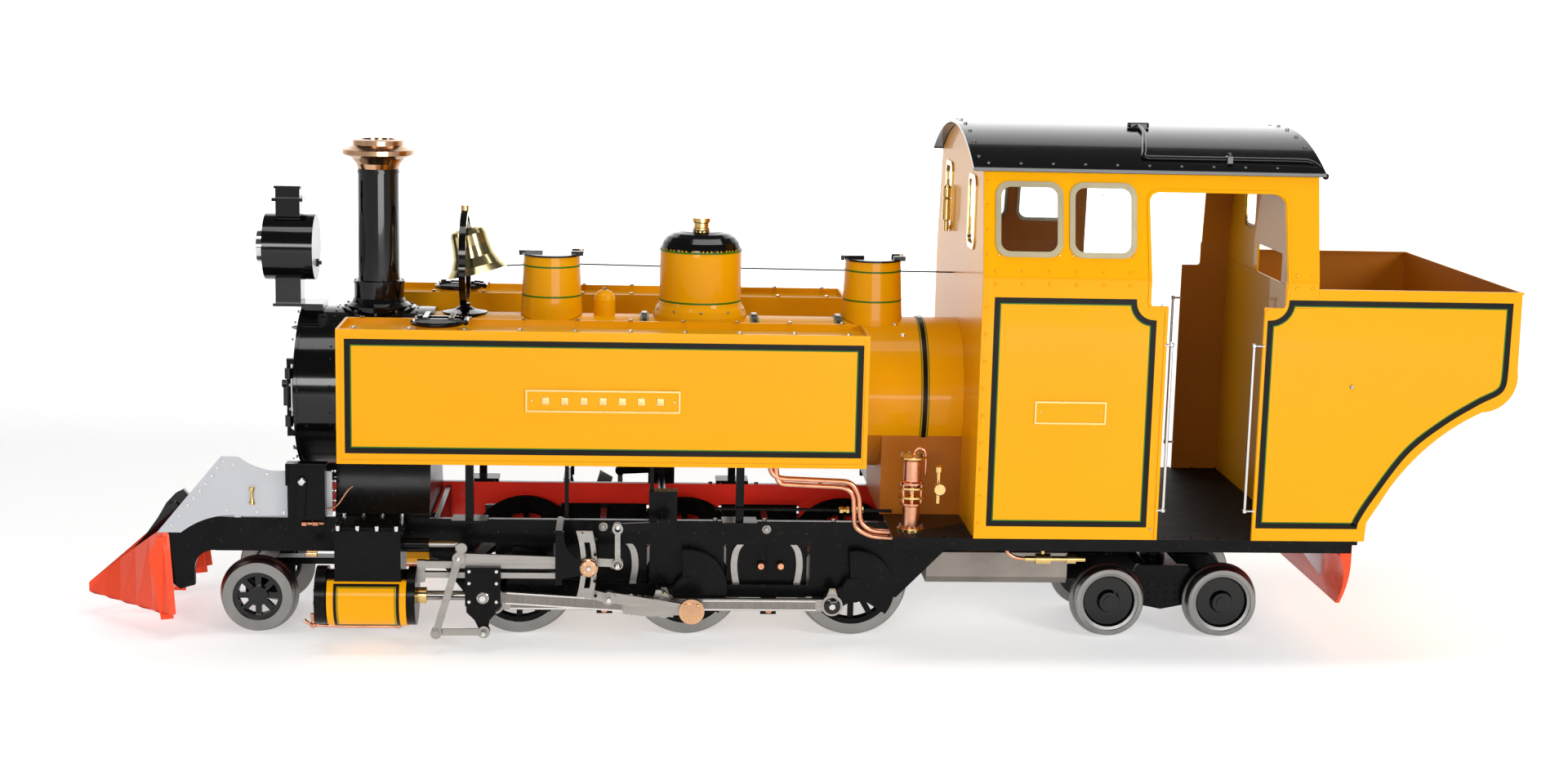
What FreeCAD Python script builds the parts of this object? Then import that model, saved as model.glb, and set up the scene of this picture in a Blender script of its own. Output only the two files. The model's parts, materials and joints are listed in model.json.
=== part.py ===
import FreeCAD, Part
import os
from math import acos, atan2, cos, degrees, hypot, pi, radians, sin, sqrt

# A 7 1/4 inch gauge 2-6-4 side-tank steam locomotive, in millimetres.
# Drawing datum: x runs towards the rear (the chimney end is at negative x), y towards the
# right-hand side, z up from the rail top.  The saved parts are moved so that the origin lies
# at the middle of the length, on the level of the lowest point of the wheel flanges.
os.makedirs("parts", exist_ok=True)

# ---- driving dimensions -------------------------------------------------------------
FLANGE = 5.0
NOSE_X = -837.0
TAIL_X = 1286.1
MIDDLE_X = (NOSE_X + TAIL_X) / 2

DRIVER_R = 82.0
AXLE_XS = (-171.6, 80.4, 332.4)
CRANK_THROW = 40.0
LEFT_CRANK_DEG = 210.0
RIGHT_CRANK_DEG = 120.0
AXLE_R = 12.0
PIN_R = 7.0
FIT = 0.08

PONY_X = -562.5
PONY_R = 54.0
PONY_PIVOT_X = -395.0
BOGIE_XS = (731.0, 907.0)
BOGIE_R = 53.5
BOGIE_PIVOT_X = sum(BOGIE_XS) / 2

WHEEL_IN = 85.5
WHEEL_OUT = 110.0
FRAME_IN = 124.0
FRAME_OUT = 134.0
FRAME_TOP = 182.0
CRANK_IN = 139.0
CRANK_OUT = 156.0
SIDE_ROD = (160.0, 171.0)
MAIN_ROD = (178.0, 190.0)
RETURN_CRANK = (191.5, 197.5)
ECCENTRIC_ROD = (199.0, 205.0)
RADIUS_ROD = (197.0, 204.0)
LINK = (206.0, 212.0)
LINK_BRACKET = (214.0, 219.0)
UNION = (198.5, 203.5)
LEVER = (205.5, 211.5)
CYL_Y = 184.0
CYL_Z = 78.0
CYL_R = 43.5
CYL_X0 = -462.9
CYL_X1 = -317.2
CHEST_Y = 218.0

CROSSHEAD_X = -220.7
MAIN_ROD_LENGTH = 267.0
ECCENTRIC_THROW = 20.8
TRUNNION = (-65.0, 130.8)
LINK_FOOT_ARM = 57.2
ECCENTRIC_LENGTH = 123.6
LEVER_PIVOT = (-255.0, 140.6)
LEVER_LENGTH = 118.3
LEVER_TOP = 16.1
UNION_LENGTH = 69.2
UNION_Z = 27.4
WEIGH_SHAFT = (43.0, 190.0)
YOKE_X = -104.0
LIFT_TOP = (-23.7, 186.7)
LIFT_BOTTOM = (-23.1, 133.5)
LIFT_PIN_R = 2.5

BOILER_Z = 360.0
BOILER_R = 114.0
SMOKEBOX_R = 121.0
SMOKEBOX_X0 = -499.0
SMOKEBOX_X1 = -305.0
DOOR_HINGE_Y = 104.0
DOOR_STRAPS = (-38, 34)

TANK_X0 = -423.4
TANK_X1 = 334.4
TANK_IN = 142.0
SIDE_Y = 257.7
TANK_Z0 = 290.6
TANK_Z1 = 484.7

CAB_X0 = 493.5
CAB_X1 = 982.6
DECK_X1 = 1064.0
SHEET = 3.0
FLOOR_Z = 188.7
WAIST_Z = 571.6
EAVES_Z = 722.0
EAVES_Y = 223.0
DOOR_X0 = 764.3
DOOR_X1 = 904.3
ROOF_X0 = 478.6
ROOF_X1 = 992.0
ROOF_R = 500.0
ROOF_CROWN = 780.0
ROOF_T = 4.0
BUNKER_TOP = 561.5

CHIMNEY_X = -390.5
DOME_X = 97.0
SAND_XS = (-129.6, 361.5)
SAND_TOP = 563.5
BELL_X = -261.0
BELL_Z = 611.0
BELL_TILT = 14.0
LAMP_X0 = -571.0
LAMP_X1 = -484.0
LAMP_R = 50.0
LENS_R = 20.5
LAMP_VENT_X = -524.0
LAMP_Z = 570.0

FILLER = (-286.0, 200.0)
SLANT = hypot(SIDE_Y - EAVES_Y, EAVES_Z - WAIST_Z)
WINDOWS = ((513.9, 605.5), (621.0, 712.4))
WINDOW_Z = (33.0, 136.0)
SPECTACLE_YS = (-128.0, 128.0)
FRONT_LIGHTS_Z = (602.0, 706.0)
REAR_LIGHTS_Z = (612.0, 702.0)
REVERSER = (654.0, 213.0, 280.0)
CRANK_DEG = {-1: LEFT_CRANK_DEG, 1: RIGHT_CRANK_DEG}
SIDE_NAME = {-1: "left", 1: "right"}
SIDES = (-1, 1)


# ---- small modelling helpers ---------------------------------------------------------
def vec(x, y, z):
    return FreeCAD.Vector(x, y, z)


def block(x0, x1, y0, y1, z0, z1):
    lo = vec(min(x0, x1), min(y0, y1), min(z0, z1))
    return Part.makeBox(abs(x1 - x0), abs(y1 - y0), abs(z1 - z0), lo)


def rod_x(x0, x1, y, z, r):
    return Part.makeCylinder(r, x1 - x0, vec(x0, y, z), vec(1, 0, 0))


def rod_y(x, z, y0, y1, r):
    low, high = sorted((y0, y1))
    return Part.makeCylinder(r, high - low, vec(x, low, z), vec(0, 1, 0))


def rod_z(x, y, z0, z1, r):
    return Part.makeCylinder(r, z1 - z0, vec(x, y, z0), vec(0, 0, 1))


def wire_xz(start, steps, y):
    """Closed outline in an x-z plane; a step is a point, or (point on the arc, end point)."""
    edges = []
    here = vec(start[0], y, start[1])
    for step in list(steps) + [start]:
        if isinstance(step[0], tuple):
            via = vec(step[0][0], y, step[0][1])
            there = vec(step[1][0], y, step[1][1])
            edges.append(Part.Arc(here, via, there).toShape())
        else:
            there = vec(step[0], y, step[1])
            if here.distanceToPoint(there) > 1e-6:
                edges.append(Part.makeLine(here, there))
        here = there
    return Part.Wire(edges)


def plate_xz(start, steps, y0, y1):
    low, high = sorted((y0, y1))
    return Part.Face(wire_xz(start, steps, low)).extrude(vec(0, high - low, 0))


def plate_yz(start, steps, x0, x1):
    """Plate across the engine: outline given as (y, z), thickness from x0 to x1."""
    flat = plate_xz(start, steps, 0, x1 - x0)
    flat.rotate(vec(0, 0, 0), vec(0, 0, 1), 90)
    flat.translate(vec(x1, 0, 0))
    return flat


def turned(points, x, y):
    """Solid of revolution about a vertical axis from (radius, z) points."""
    outline = [vec(r, 0, z) for r, z in points]
    face = Part.Face(Part.makePolygon(outline + [outline[0]]))
    solid = face.revolve(vec(0, 0, 0), vec(0, 0, 1), 360)
    solid.translate(vec(x, y, 0))
    return solid


def wheel_turned(points, x, z):
    """Solid of revolution about a crosswise axis from (radius, y) points."""
    outline = [vec(r, y, 0) for r, y in points]
    face = Part.Face(Part.makePolygon(outline + [outline[0]]))
    solid = face.revolve(vec(0, 0, 0), vec(0, 1, 0), 360)
    solid.translate(vec(x, 0, z))
    return solid


def mirrored(shape):
    return shape.mirror(vec(0, 0, 0), vec(0, 1, 0))


def pair(shape):
    return [shape, mirrored(shape)]


def joined(first, *rest):
    return first.fuse(list(rest)).removeSplitter()


def link_bar(p, q, rp, rq, half, y0, y1):
    """Rod between two bosses: p and q are (x, z) centres, half is half the bar's depth."""
    length = hypot(q[0] - p[0], q[1] - p[1])
    ux, uz = (q[0] - p[0]) / length, (q[1] - p[1]) / length
    nx, nz = -uz * half, ux * half
    inset = 0.6 * min(rp, rq)
    waist = (min(y0, y1) + 1.0, max(y0, y1) - 1.0)
    a = (p[0] + ux * inset, p[1] + uz * inset)
    b = (q[0] - ux * inset, q[1] - uz * inset)
    bar = plate_xz((a[0] + nx, a[1] + nz), [(b[0] + nx, b[1] + nz), (b[0] - nx, b[1] - nz),
                                            (a[0] - nx, a[1] - nz)], *waist)
    return joined(bar, rod_y(p[0], p[1], y0, y1, rp), rod_y(q[0], q[1], y0, y1, rq))


def bored(shape, centre, radius, y0, y1):
    return shape.cut(rod_y(centre[0], centre[1], y0 - 1, y1 + 1, radius))


def save(name, solids):
    """Write one named sub-part: every piece in it stays a solid of its own."""
    pieces = []
    for shape in solids:
        pieces.extend(shape.Solids)
    group = Part.makeCompound([p.copy() for p in pieces]) if len(pieces) > 1 else pieces[0].copy()
    group.translate(vec(-MIDDLE_X, 0, FLANGE))
    group.exportStep(os.path.join("parts", name + ".step"))
    box = group.BoundBox
    print(f"{name:22s} {len(pieces):3d} solids  x {box.XMin:8.1f} {box.XMax:8.1f}"
          f"  y {box.YMin:7.1f} {box.YMax:7.1f}  z {box.ZMin:6.1f} {box.ZMax:6.1f}")


# ---- running gear: geometry of the motion ----------------------------------------------
def on_circle(centre, radius, degrees_):
    return (centre[0] + radius * cos(radians(degrees_)), centre[1] + radius * sin(radians(degrees_)))


def crank_pin(axle_x, crank_deg):
    return on_circle((axle_x, DRIVER_R), CRANK_THROW, crank_deg)


def crosshead_pin(crank_deg):
    pin = crank_pin(AXLE_XS[1], crank_deg)
    return (pin[0] - sqrt(MAIN_ROD_LENGTH ** 2 - (pin[1] - CYL_Z) ** 2), CYL_Z)


def return_pin(crank_deg):
    return on_circle((AXLE_XS[1], DRIVER_R), ECCENTRIC_THROW, crank_deg + 77.0)


def link_foot(crank_deg):
    """Foot of the expansion link: where its arm and the eccentric rod meet below the trunnion."""
    far = return_pin(crank_deg)
    dx, dz = far[0] - TRUNNION[0], far[1] - TRUNNION[1]
    span = hypot(dx, dz)
    bend = acos((LINK_FOOT_ARM ** 2 + span ** 2 - ECCENTRIC_LENGTH ** 2) / (2 * LINK_FOOT_ARM * span))
    return on_circle(TRUNNION, LINK_FOOT_ARM, degrees(atan2(dz, dx) - bend))


def union_rear(crank_deg):
    return (crosshead_pin(crank_deg)[0] + 1.9, UNION_Z)


def lever_bottom(crank_deg):
    """Foot of the combination lever, kept one union-link length ahead of the crosshead arm."""
    foot_x = union_rear(crank_deg)[0] - UNION_LENGTH
    return (foot_x, LEVER_PIVOT[1] - sqrt(LEVER_LENGTH ** 2 - (foot_x - LEVER_PIVOT[0]) ** 2))


# ---- wheels ------------------------------------------------------------------------------
def flanged_pair(x, radius, rim_in, rim_out):
    """Two flanged steel tyres; rim_in is the bore and rim_out the outer face."""
    profile = [(rim_in, WHEEL_IN), (radius + FLANGE - 1.5, WHEEL_IN), (radius + FLANGE, WHEEL_IN + 1.5),
               (radius + FLANGE - 1.0, WHEEL_IN + 4.0), (radius + 1.0, WHEEL_IN + 6.5),
               (radius, WHEEL_IN + 9.0), (radius - 0.6, WHEEL_OUT - 1.5), (radius - 2.2, WHEEL_OUT),
               (rim_in, rim_out)]
    return pair(wheel_turned(profile, x, radius))


def spoked_centre(x, radius, hub_r, rim_r, spokes, y0, y1):
    """One cast wheel centre: hub, rim and spokes."""
    mid = (y0 + y1) / 2
    rim = wheel_turned([(rim_r - 7, y0), (rim_r, y0), (rim_r, y1), (rim_r - 7, y1)], x, radius)
    hub = rod_y(x, radius, y0 - 1, y1 + 2, hub_r)
    arms = []
    for k in range(spokes):
        arm = block(hub_r - 3, rim_r - 4, mid - 4, mid + 4, -4.5, 4.5)
        arm.rotate(vec(0, 0, 0), vec(0, 1, 0), 360.0 * k / spokes)
        arm.translate(vec(x, 0, radius))
        arms.append(arm)
    return joined(rim, hub, *arms)


def fly_crank(x, crank_deg, side):
    """Outside crank: boss on the axle, arm to the pin, and the balance weight opposite."""
    y0, y1 = CRANK_IN, CRANK_OUT
    pin = crank_pin(x, crank_deg)
    boss = rod_y(x, DRIVER_R, y0, y1, 19)
    arm = link_bar((x, DRIVER_R), pin, 19, 15, 13, y0, y1)
    outer = 60.0
    a, b, c = (on_circle((x, DRIVER_R), outer, crank_deg + d) for d in (112, 180, 248))
    d, e = (on_circle((x, DRIVER_R), 17, crank_deg + t) for t in (262, 98))
    weight = plate_xz(a, [(b, c), d, e], y0 + 1, y1 - 2)
    web = joined(boss, arm, weight)
    crank = rod_y(pin[0], pin[1], y1 - 3, SIDE_ROD[1] + 0.5, PIN_R)
    cap = rod_y(pin[0], pin[1], SIDE_ROD[1] + 0.5, SIDE_ROD[1] + 2.2, PIN_R + 3)
    whole = joined(web, crank, cap)
    return whole if side > 0 else mirrored(whole)


def driving_wheels():
    for number, x in enumerate(AXLE_XS, 1):
        axle = rod_y(x, DRIVER_R, -CRANK_IN - 4, CRANK_IN + 4, AXLE_R)
        centres = pair(spoked_centre(x, DRIVER_R, 20, 65, 12, WHEEL_IN + 3, WHEEL_OUT - 4))
        centres = [c.cut(axle) for c in centres]
        tyres = flanged_pair(x, DRIVER_R, 65.0, WHEEL_OUT)
        cranks = [fly_crank(x, CRANK_DEG[side], side).cut(axle) for side in SIDES]
        save(f"driving_wheels_{number}", [axle] + centres + tyres + cranks)


def pony_truck():
    wheels = pair(spoked_centre(PONY_X, PONY_R, 15, 37, 8, WHEEL_IN + 3, WHEEL_OUT - 4))
    axle = rod_y(PONY_X, PONY_R, -WHEEL_IN - 8, WHEEL_IN + 8, 8)
    tyres = flanged_pair(PONY_X, PONY_R, 37.0, WHEEL_OUT)
    save("pony_wheels", [axle] + [w.cut(axle) for w in wheels] + tyres)
    plates = pair(block(PONY_X - 24, PONY_X + 30, 62, 72, 42, 92))
    plates = [p.cut(rod_y(PONY_X, PONY_R, -80, 80, 8 + FIT)) for p in plates]
    bolster = block(PONY_X - 14, PONY_X + 14, -62, 62, 78, 92)
    arm = block(PONY_X + 14, PONY_PIVOT_X, -13, 13, 80, 90)
    eye = rod_z(PONY_PIVOT_X, 0, 78, 92, 19)
    frame = joined(bolster, *plates, arm, eye).cut(rod_z(PONY_PIVOT_X, 0, 70, 100, 9 + FIT))
    save("pony_frame", [frame])


def disc_wheels(x):
    profile = [(9, WHEEL_IN + 1), (45, WHEEL_IN + 1), (45, WHEEL_OUT - 3), (40, WHEEL_OUT - 4),
               (37, WHEEL_OUT - 9), (18, WHEEL_OUT - 9), (15, WHEEL_OUT), (9, WHEEL_OUT)]
    axle = rod_y(x, BOGIE_R, -WHEEL_OUT - 2, WHEEL_OUT + 2, 9)
    return [axle] + pair(wheel_turned(profile, x, BOGIE_R)) + flanged_pair(x, BOGIE_R, 45.0, WHEEL_OUT)


def bogie():
    for number, x in enumerate(BOGIE_XS, 1):
        save(f"bogie_wheels_{number}", disc_wheels(x))
    x0, x1 = BOGIE_XS[0] - 38, BOGIE_XS[1] + 38
    side = plate_xz((x0, 44), [(x0, 74), (x0 + 16, 84), (BOGIE_PIVOT_X - 50, 84), (BOGIE_PIVOT_X - 40, 104),
                               (BOGIE_PIVOT_X + 40, 104), (BOGIE_PIVOT_X + 50, 84), (x1 - 16, 84), (x1, 74),
                               (x1, 44), (x1 - 76, 44), (BOGIE_PIVOT_X, 34), (x0 + 76, 44)], 68, 76)
    for x in BOGIE_XS:
        side = side.cut(rod_y(x, BOGIE_R, 60, 80, 9 + FIT))
    bolster = block(BOGIE_PIVOT_X - 24, BOGIE_PIVOT_X + 24, -68, 68, 84, 104)
    frame = joined(bolster, side, mirrored(side)).cut(rod_z(BOGIE_PIVOT_X, 0, 80, 110, 12 + FIT))
    save("bogie_frame", [frame])


# ---- rods and valve gear -----------------------------------------------------------------
def on_side(side, shape):
    return shape if side > 0 else mirrored(shape)


def coupling_rod(side):
    y0, y1 = SIDE_ROD
    pins = [crank_pin(x, CRANK_DEG[side]) for x in AXLE_XS]
    rod = link_bar(pins[0], pins[1], 16, 18, 9, y0, y1)
    rod = joined(rod, link_bar(pins[1], pins[2], 18, 16, 9, y0, y1))
    for pin in pins:
        cup = plate_xz((pin[0] - 9, pin[1] + 12), [(pin[0] + 9, pin[1] + 12), (pin[0] + 4, pin[1] + 26),
                                                  (pin[0] - 4, pin[1] + 26)], y0 + 2, y1 - 2)
        rod = joined(rod, cup)
        rod = bored(rod, pin, PIN_R + FIT, y0, y1)
    save(f"coupling_rod_{SIDE_NAME[side]}", [on_side(side, rod)])


def connecting_rod(side):
    y0, y1 = MAIN_ROD
    front, back = crosshead_pin(CRANK_DEG[side]), crank_pin(AXLE_XS[1], CRANK_DEG[side])
    rod = link_bar(front, back, 11, 15, 8, y0, y1)
    angle = degrees(atan2(back[1] - front[1], back[0] - front[0]))
    end = joined(block(-36, 15, y0, y1, -13, 13), block(-30, -12, y0 + 2, y1 - 2, -15, 15))
    end.rotate(vec(0, 0, 0), vec(0, 1, 0), -angle)
    end.translate(vec(back[0], 0, back[1]))
    cup = plate_xz((back[0] - 17, back[1] + 11), [(back[0] + 1, back[1] + 11), (back[0] - 4, back[1] + 27),
                                                 (back[0] - 12, back[1] + 27)], y0 + 2, y1 - 2)
    rod = joined(rod, end, cup)
    rod = bored(rod, front, PIN_R + FIT, y0, y1)
    rod = bored(rod, back, 5.0, y0, y1)
    save(f"connecting_rod_{SIDE_NAME[side]}", [on_side(side, rod)])


def crosshead(side):
    """Plates each side of the guide bars, the piston rod, and the arm that drives the union link."""
    pin = crosshead_pin(CRANK_DEG[side])
    x, z = pin
    foot = union_rear(CRANK_DEG[side])

    def cheek(y0, y1, drop):
        top = z + 38
        low = z - 30
        outline = [(x + 19, top), (x + 19, low + 6), (x + 10, low - 4), (foot[0] + 6, foot[1]),
                   (foot[0] - 6, foot[1]), (x - 12, low - 4), (x - 24, low + 8)]
        if not drop:
            outline = [(x + 19, top), (x + 19, low + 6), (x - 24, low + 6)]
        return plate_xz((x - 24, top), outline, y0, y1)

    outer = joined(cheek(192, 197, True), rod_y(foot[0], foot[1], 192, 197, 9))
    inner = cheek(174, 177.3, False)
    lower_shoe = block(x - 24, x + 19, 176, 192, z + 20.5, z + 27.5)
    lower_shoe = lower_shoe.cut(block(x - 12, x + 30, 177, 191, z, z + 24))
    nose = block(x - 24, x - 13, 176, 192, z - 9, z + 22)
    boss = rod_y(x, z, 176, 192, PIN_R)
    head = rod_y(x, z, 197, 201, 8)
    body = joined(outer, inner, lower_shoe, nose, boss, head)
    union_pin = rod_y(foot[0], foot[1], 197, UNION[1] + 2.5, 4)
    rod = rod_x(CYL_X1 - 60, x - 23, CYL_Y, CYL_Z, 7)
    save(f"crosshead_{SIDE_NAME[side]}", [on_side(side, joined(body, rod, union_pin))])


def return_crank(side):
    y0, y1 = RETURN_CRANK
    deg = CRANK_DEG[side]
    main, far = crank_pin(AXLE_XS[1], deg), return_pin(deg)
    arm = link_bar(main, far, 13, 11, 9, y0, y1)
    stub = rod_y(main[0], main[1], MAIN_ROD[0], y0 + 1, 5.0 - FIT)
    cap = rod_y(main[0], main[1], y1 - 1, y1 + 1, 8)
    save(f"return_crank_{SIDE_NAME[side]}", [on_side(side, joined(arm, stub, cap))])


def eccentric_rod(side):
    y0, y1 = ECCENTRIC_ROD
    deg = CRANK_DEG[side]
    front, back = link_foot(deg), return_pin(deg)
    rod = link_bar(front, back, 10, 18, 8, y0, y1)
    cap = joined(rod_y(back[0], back[1], y1 - 1, y1 + 5, 19), rod_y(back[0], back[1], y1 + 5, y1 + 7, 13))
    rod = bored(rod, front, 4 + FIT, y0, y1)
    save(f"eccentric_rod_{SIDE_NAME[side]}", [on_side(side, joined(rod, cap))])


def expansion_link(side):
    """Curved slotted link hung from a trunnion, with its foot arm and pin."""
    y0, y1 = LINK
    foot = link_foot(CRANK_DEG[side])
    tx, tz = TRUNNION
    foot_deg = degrees(atan2(foot[1] - tz, foot[0] - tx))
    tilt = foot_deg + 58.8
    radius = tx - LEVER_PIVOT[0]

    def band(half_width, low, high):
        """Strip that follows the arc struck from the radius rod's front pin."""
        cx = tx - radius
        rin, rout = radius - half_width, radius + half_width

        def at(r, h):
            return (cx + sqrt(r * r - h * h), tz + h)
        return plate_xz(at(rin, low), [(at(rin, (low + high) / 2), at(rin, high)), at(rout, high),
                                       (at(rout, (low + high) / 2), at(rout, low))], y0, y1)

    link = band(11.5, -47, 52).cut(band(4.0, -33, 36))
    foot_rest = on_circle(TRUNNION, LINK_FOOT_ARM, -58.8)
    toe = link_bar((tx - 2, tz - 41), foot_rest, 8, 10, 7, y0, y1)
    link = joined(link, toe, rod_y(tx, tz, y0, y1, 11.5))
    link.rotate(vec(tx, 0, tz), vec(0, 1, 0), -tilt)
    trunnion = rod_y(tx, tz, y1 - 1, LINK_BRACKET[1] + 1, 6)
    foot_pin = rod_y(foot[0], foot[1], ECCENTRIC_ROD[0] - 1, y0 + 1, 4)
    head = rod_y(foot[0], foot[1], y1 - 1, y1 + 3, 7)
    save(f"expansion_link_{SIDE_NAME[side]}", [on_side(side, joined(link, trunnion, foot_pin, head))])


def combination_lever(side):
    y0, y1 = LEVER
    foot = lever_bottom(CRANK_DEG[side])
    px, pz = LEVER_PIVOT
    length = hypot(foot[0] - px, foot[1] - pz)
    top = (px - (foot[0] - px) * LEVER_TOP / length, pz + (pz - foot[1]) * LEVER_TOP / length)
    lever = link_bar(top, foot, 8, 8, 5.5, y0, y1)
    lever = joined(lever, rod_y(px, pz, y0, y1, 9))
    lever = bored(lever, LEVER_PIVOT, 4 + FIT, y0, y1)
    top_pin = rod_y(top[0], top[1], y0 - 5, y0 + 1, 3.5)
    foot_head = rod_y(foot[0], foot[1], y1 - 1, y1 + 2.5, 5.5)
    save(f"combination_lever_{SIDE_NAME[side]}", [on_side(side, joined(lever, top_pin, foot_head))])


def union_link(side):
    y0, y1 = UNION
    rear = union_rear(CRANK_DEG[side])
    front = lever_bottom(CRANK_DEG[side])
    link = bored(link_bar(front, rear, 8, 9, 5, y0, y1), rear, 4 + FIT, y0, y1)
    save(f"union_link_{SIDE_NAME[side]}", [on_side(side, link)])


def valve_spindle(side):
    """Spindle with the fork that the combination lever's top works."""
    deg = CRANK_DEG[side]
    foot = lever_bottom(deg)
    top_x = LEVER_PIVOT[0] - (foot[0] - LEVER_PIVOT[0]) * LEVER_TOP / LEVER_LENGTH
    z = LEVER_PIVOT[1] + LEVER_TOP - 1.0
    spindle = rod_x(CYL_X1 - 20, top_x - 8, CYL_Y, z, 4.5)
    eye = block(top_x - 10, top_x - 5, CYL_Y - 5, 199, z - 6, z + 6)
    save(f"valve_spindle_{SIDE_NAME[side]}", [on_side(side, joined(spindle, eye))])


def radius_rods():
    y0, y1 = RADIUS_ROD
    rod = link_bar(LEVER_PIVOT, LIFT_BOTTOM, 9, 8, 6, y0, y1)
    front_pin = rod_y(LEVER_PIVOT[0], LEVER_PIVOT[1], y1 - 1, LEVER[1] + 2, 4)
    rear_pin = rod_y(LIFT_BOTTOM[0], LIFT_BOTTOM[1], y1 - 1, LINK[1] + 2, LIFT_PIN_R)
    save("radius_rods", pair(joined(rod, front_pin, rear_pin)))


def lifting_links():
    y0, y1 = LINK[0] - 0.5, LINK[1]
    link = link_bar(LIFT_TOP, LIFT_BOTTOM, 8, 8, 4, y0, y1)
    link = bored(bored(link, LIFT_TOP, 4 + FIT, y0, y1), LIFT_BOTTOM, LIFT_PIN_R + 3.3, y0, y1)
    save("lifting_links", pair(link))


def reversing_shaft():
    """Weigh shaft across the frames with a lifting arm at each end and the reach-rod arm."""
    x, z = WEIGH_SHAFT
    shaft = rod_y(x, z, -203, 203, 6)
    arm = link_bar((x, z), LIFT_TOP, 11, 8, 6, RADIUS_ROD[0], RADIUS_ROD[1])
    pin = rod_y(LIFT_TOP[0], LIFT_TOP[1], RADIUS_ROD[1] - 1, LINK[1] + 2, 4)
    reach_arm = block(x - 6, x + 6, 164, 172, z, z + 30)
    save("reversing_shaft", [joined(shaft, arm, pin, mirrored(arm), mirrored(pin), reach_arm)])


# ---- frames -------------------------------------------------------------------------------
def frame_plates():
    """Outside frame plates: arched over the pony wheels, windowed between the driving axles."""
    steps = [((-655, 176), (-600, FRAME_TOP)), (1040, FRAME_TOP), (1040, 140), (470, 140), (398, 66),
             (-250, 66), (-300, 131), (-617, 131), ((-641, 124), (-650, 104)), (-650, 78), (-672, 72),
             (-686, 84), (-686, 156)]
    plate = plate_xz((-690, 156), steps, FRAME_IN, FRAME_OUT)
    for x in AXLE_XS:
        plate = plate.cut(rod_y(x, DRIVER_R, 110, 150, AXLE_R + FIT))
    for low, high in ((-238, -206), (-120, 24), (136, 266)):
        window = block(low, high, 110, 150, 84, 146)
        plate = plate.cut(window)
    save("frame_plates", pair(plate))


def frame_stretchers():
    """Cross members, front beam, draw gear and the posts that carry the side tanks."""
    parts = [block(-690, -676, -FRAME_IN, FRAME_IN, 96, 152),
             block(-640, -500, -FRAME_IN, FRAME_IN, 168, 178),
             block(-300, -292, -FRAME_IN, FRAME_IN, 120, 176),
             block(PONY_PIVOT_X - 22, PONY_PIVOT_X + 22, -FRAME_IN, FRAME_IN, 132, 144)]
    for x in (-48, 206):
        parts.append(block(x - 5, x + 5, -FRAME_IN, FRAME_IN, 100, 146))
    parts.append(block(424, 432, -FRAME_IN, FRAME_IN, 100, 160))
    parts.append(block(BOGIE_PIVOT_X - 30, BOGIE_PIVOT_X + 30, -FRAME_IN, FRAME_IN, 142, 160))
    pony_pin = joined(rod_z(PONY_PIVOT_X, 0, 76, 133, 9), rod_z(PONY_PIVOT_X, 0, 93, 133, 14))
    bogie_pin = joined(rod_z(BOGIE_PIVOT_X, 0, 82, 143, 12), rod_z(BOGIE_PIVOT_X, 0, 105, 143, 20))
    parts += [pony_pin, bogie_pin]
    for x in (-243, 157):
        post = joined(block(x - 6, x + 6, 146, 158, FRAME_TOP + 5, TANK_Z0),
                      block(x - 26, x + 26, FRAME_OUT - 8, 166, FRAME_TOP, FRAME_TOP + 5))
        parts += pair(post)
    for x in (-100, 26):
        parts += pair(block(x - 3, x + 3, 146, 152, 200 if x > 0 else 190, TANK_Z0))
    bracket = block(22, 64, 136, 158, FRAME_TOP - 20, 232)
    bracket = bracket.cut(rod_y(WEIGH_SHAFT[0], WEIGH_SHAFT[1], 130, 170, 6 + FIT))
    parts += pair(bracket.cut(block(22.9, 29.1, 145.9, 152.1, 190, 240)))
    save("frame_stretchers", parts + pair(guide_yoke()) + [door_hinge()])


def cowcatcher():
    """Pleated V of sheet: facets run from the foot of the beam forward to the nose."""
    nose_low, nose_high = 31.0, 46.0
    pleats = 5
    half = 150.0
    sides = []
    for k in range(pleats):
        a, b = k / pleats, (k + 1) / pleats

        def low(t):
            return vec(-837 + 152 * t, half * t, nose_low + 5 * t)

        def top(t):
            return vec(-836 + 140 * t, 4 + (half - 18) * t * (0.35 + 0.65 * t), nose_high + 118 * t)
        ridge_low = low((a + b) / 2) + vec(-3, 2, 0)
        points = [low(a), ridge_low, low(b), top(b), top(a)]
        inner = [p + vec(9, -3, 0) for p in points]
        sides.append(hull_strip(points, inner))
    skin = sides[0].fuse(sides[1:])
    wing = plate_xz((-704, 152), [(-690, 152), (-690, 112), (-682, 27), (-700, 25), (-716, 120)],
                    FRAME_OUT + 0.2, FRAME_OUT + 4)
    skin = skin.fuse(wing)
    back = block(-694, -690, -134, 134, 60, 150)
    web = block(-800, -690, -3, 3, 34, 60)
    shell = joined(skin, mirrored(skin), web, back)
    for clear in pair(block(-690.2, -640, FRAME_IN - 1, FRAME_OUT + 0.2, 60, 160)):
        shell = shell.cut(clear)
    save("cowcatcher", [shell])


def hull_strip(front, back):
    """Closed shell between two matching point loops."""
    def face(points):
        faces = []
        for k in range(1, len(points) - 1):
            tri = [points[0], points[k], points[k + 1]]
            faces.append(Part.Face(Part.makePolygon(tri + [tri[0]])))
        return faces
    faces = face(front) + face(back)
    count = len(front)
    for k in range(count):
        j = (k + 1) % count
        for tri in ((front[k], front[j], back[j]), (front[k], back[j], back[k])):
            faces.append(Part.Face(Part.makePolygon(list(tri) + [tri[0]])))
    solid = Part.Solid(Part.Shell(faces))
    if solid.Volume < 0:
        solid.reverse()
    return solid


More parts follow.
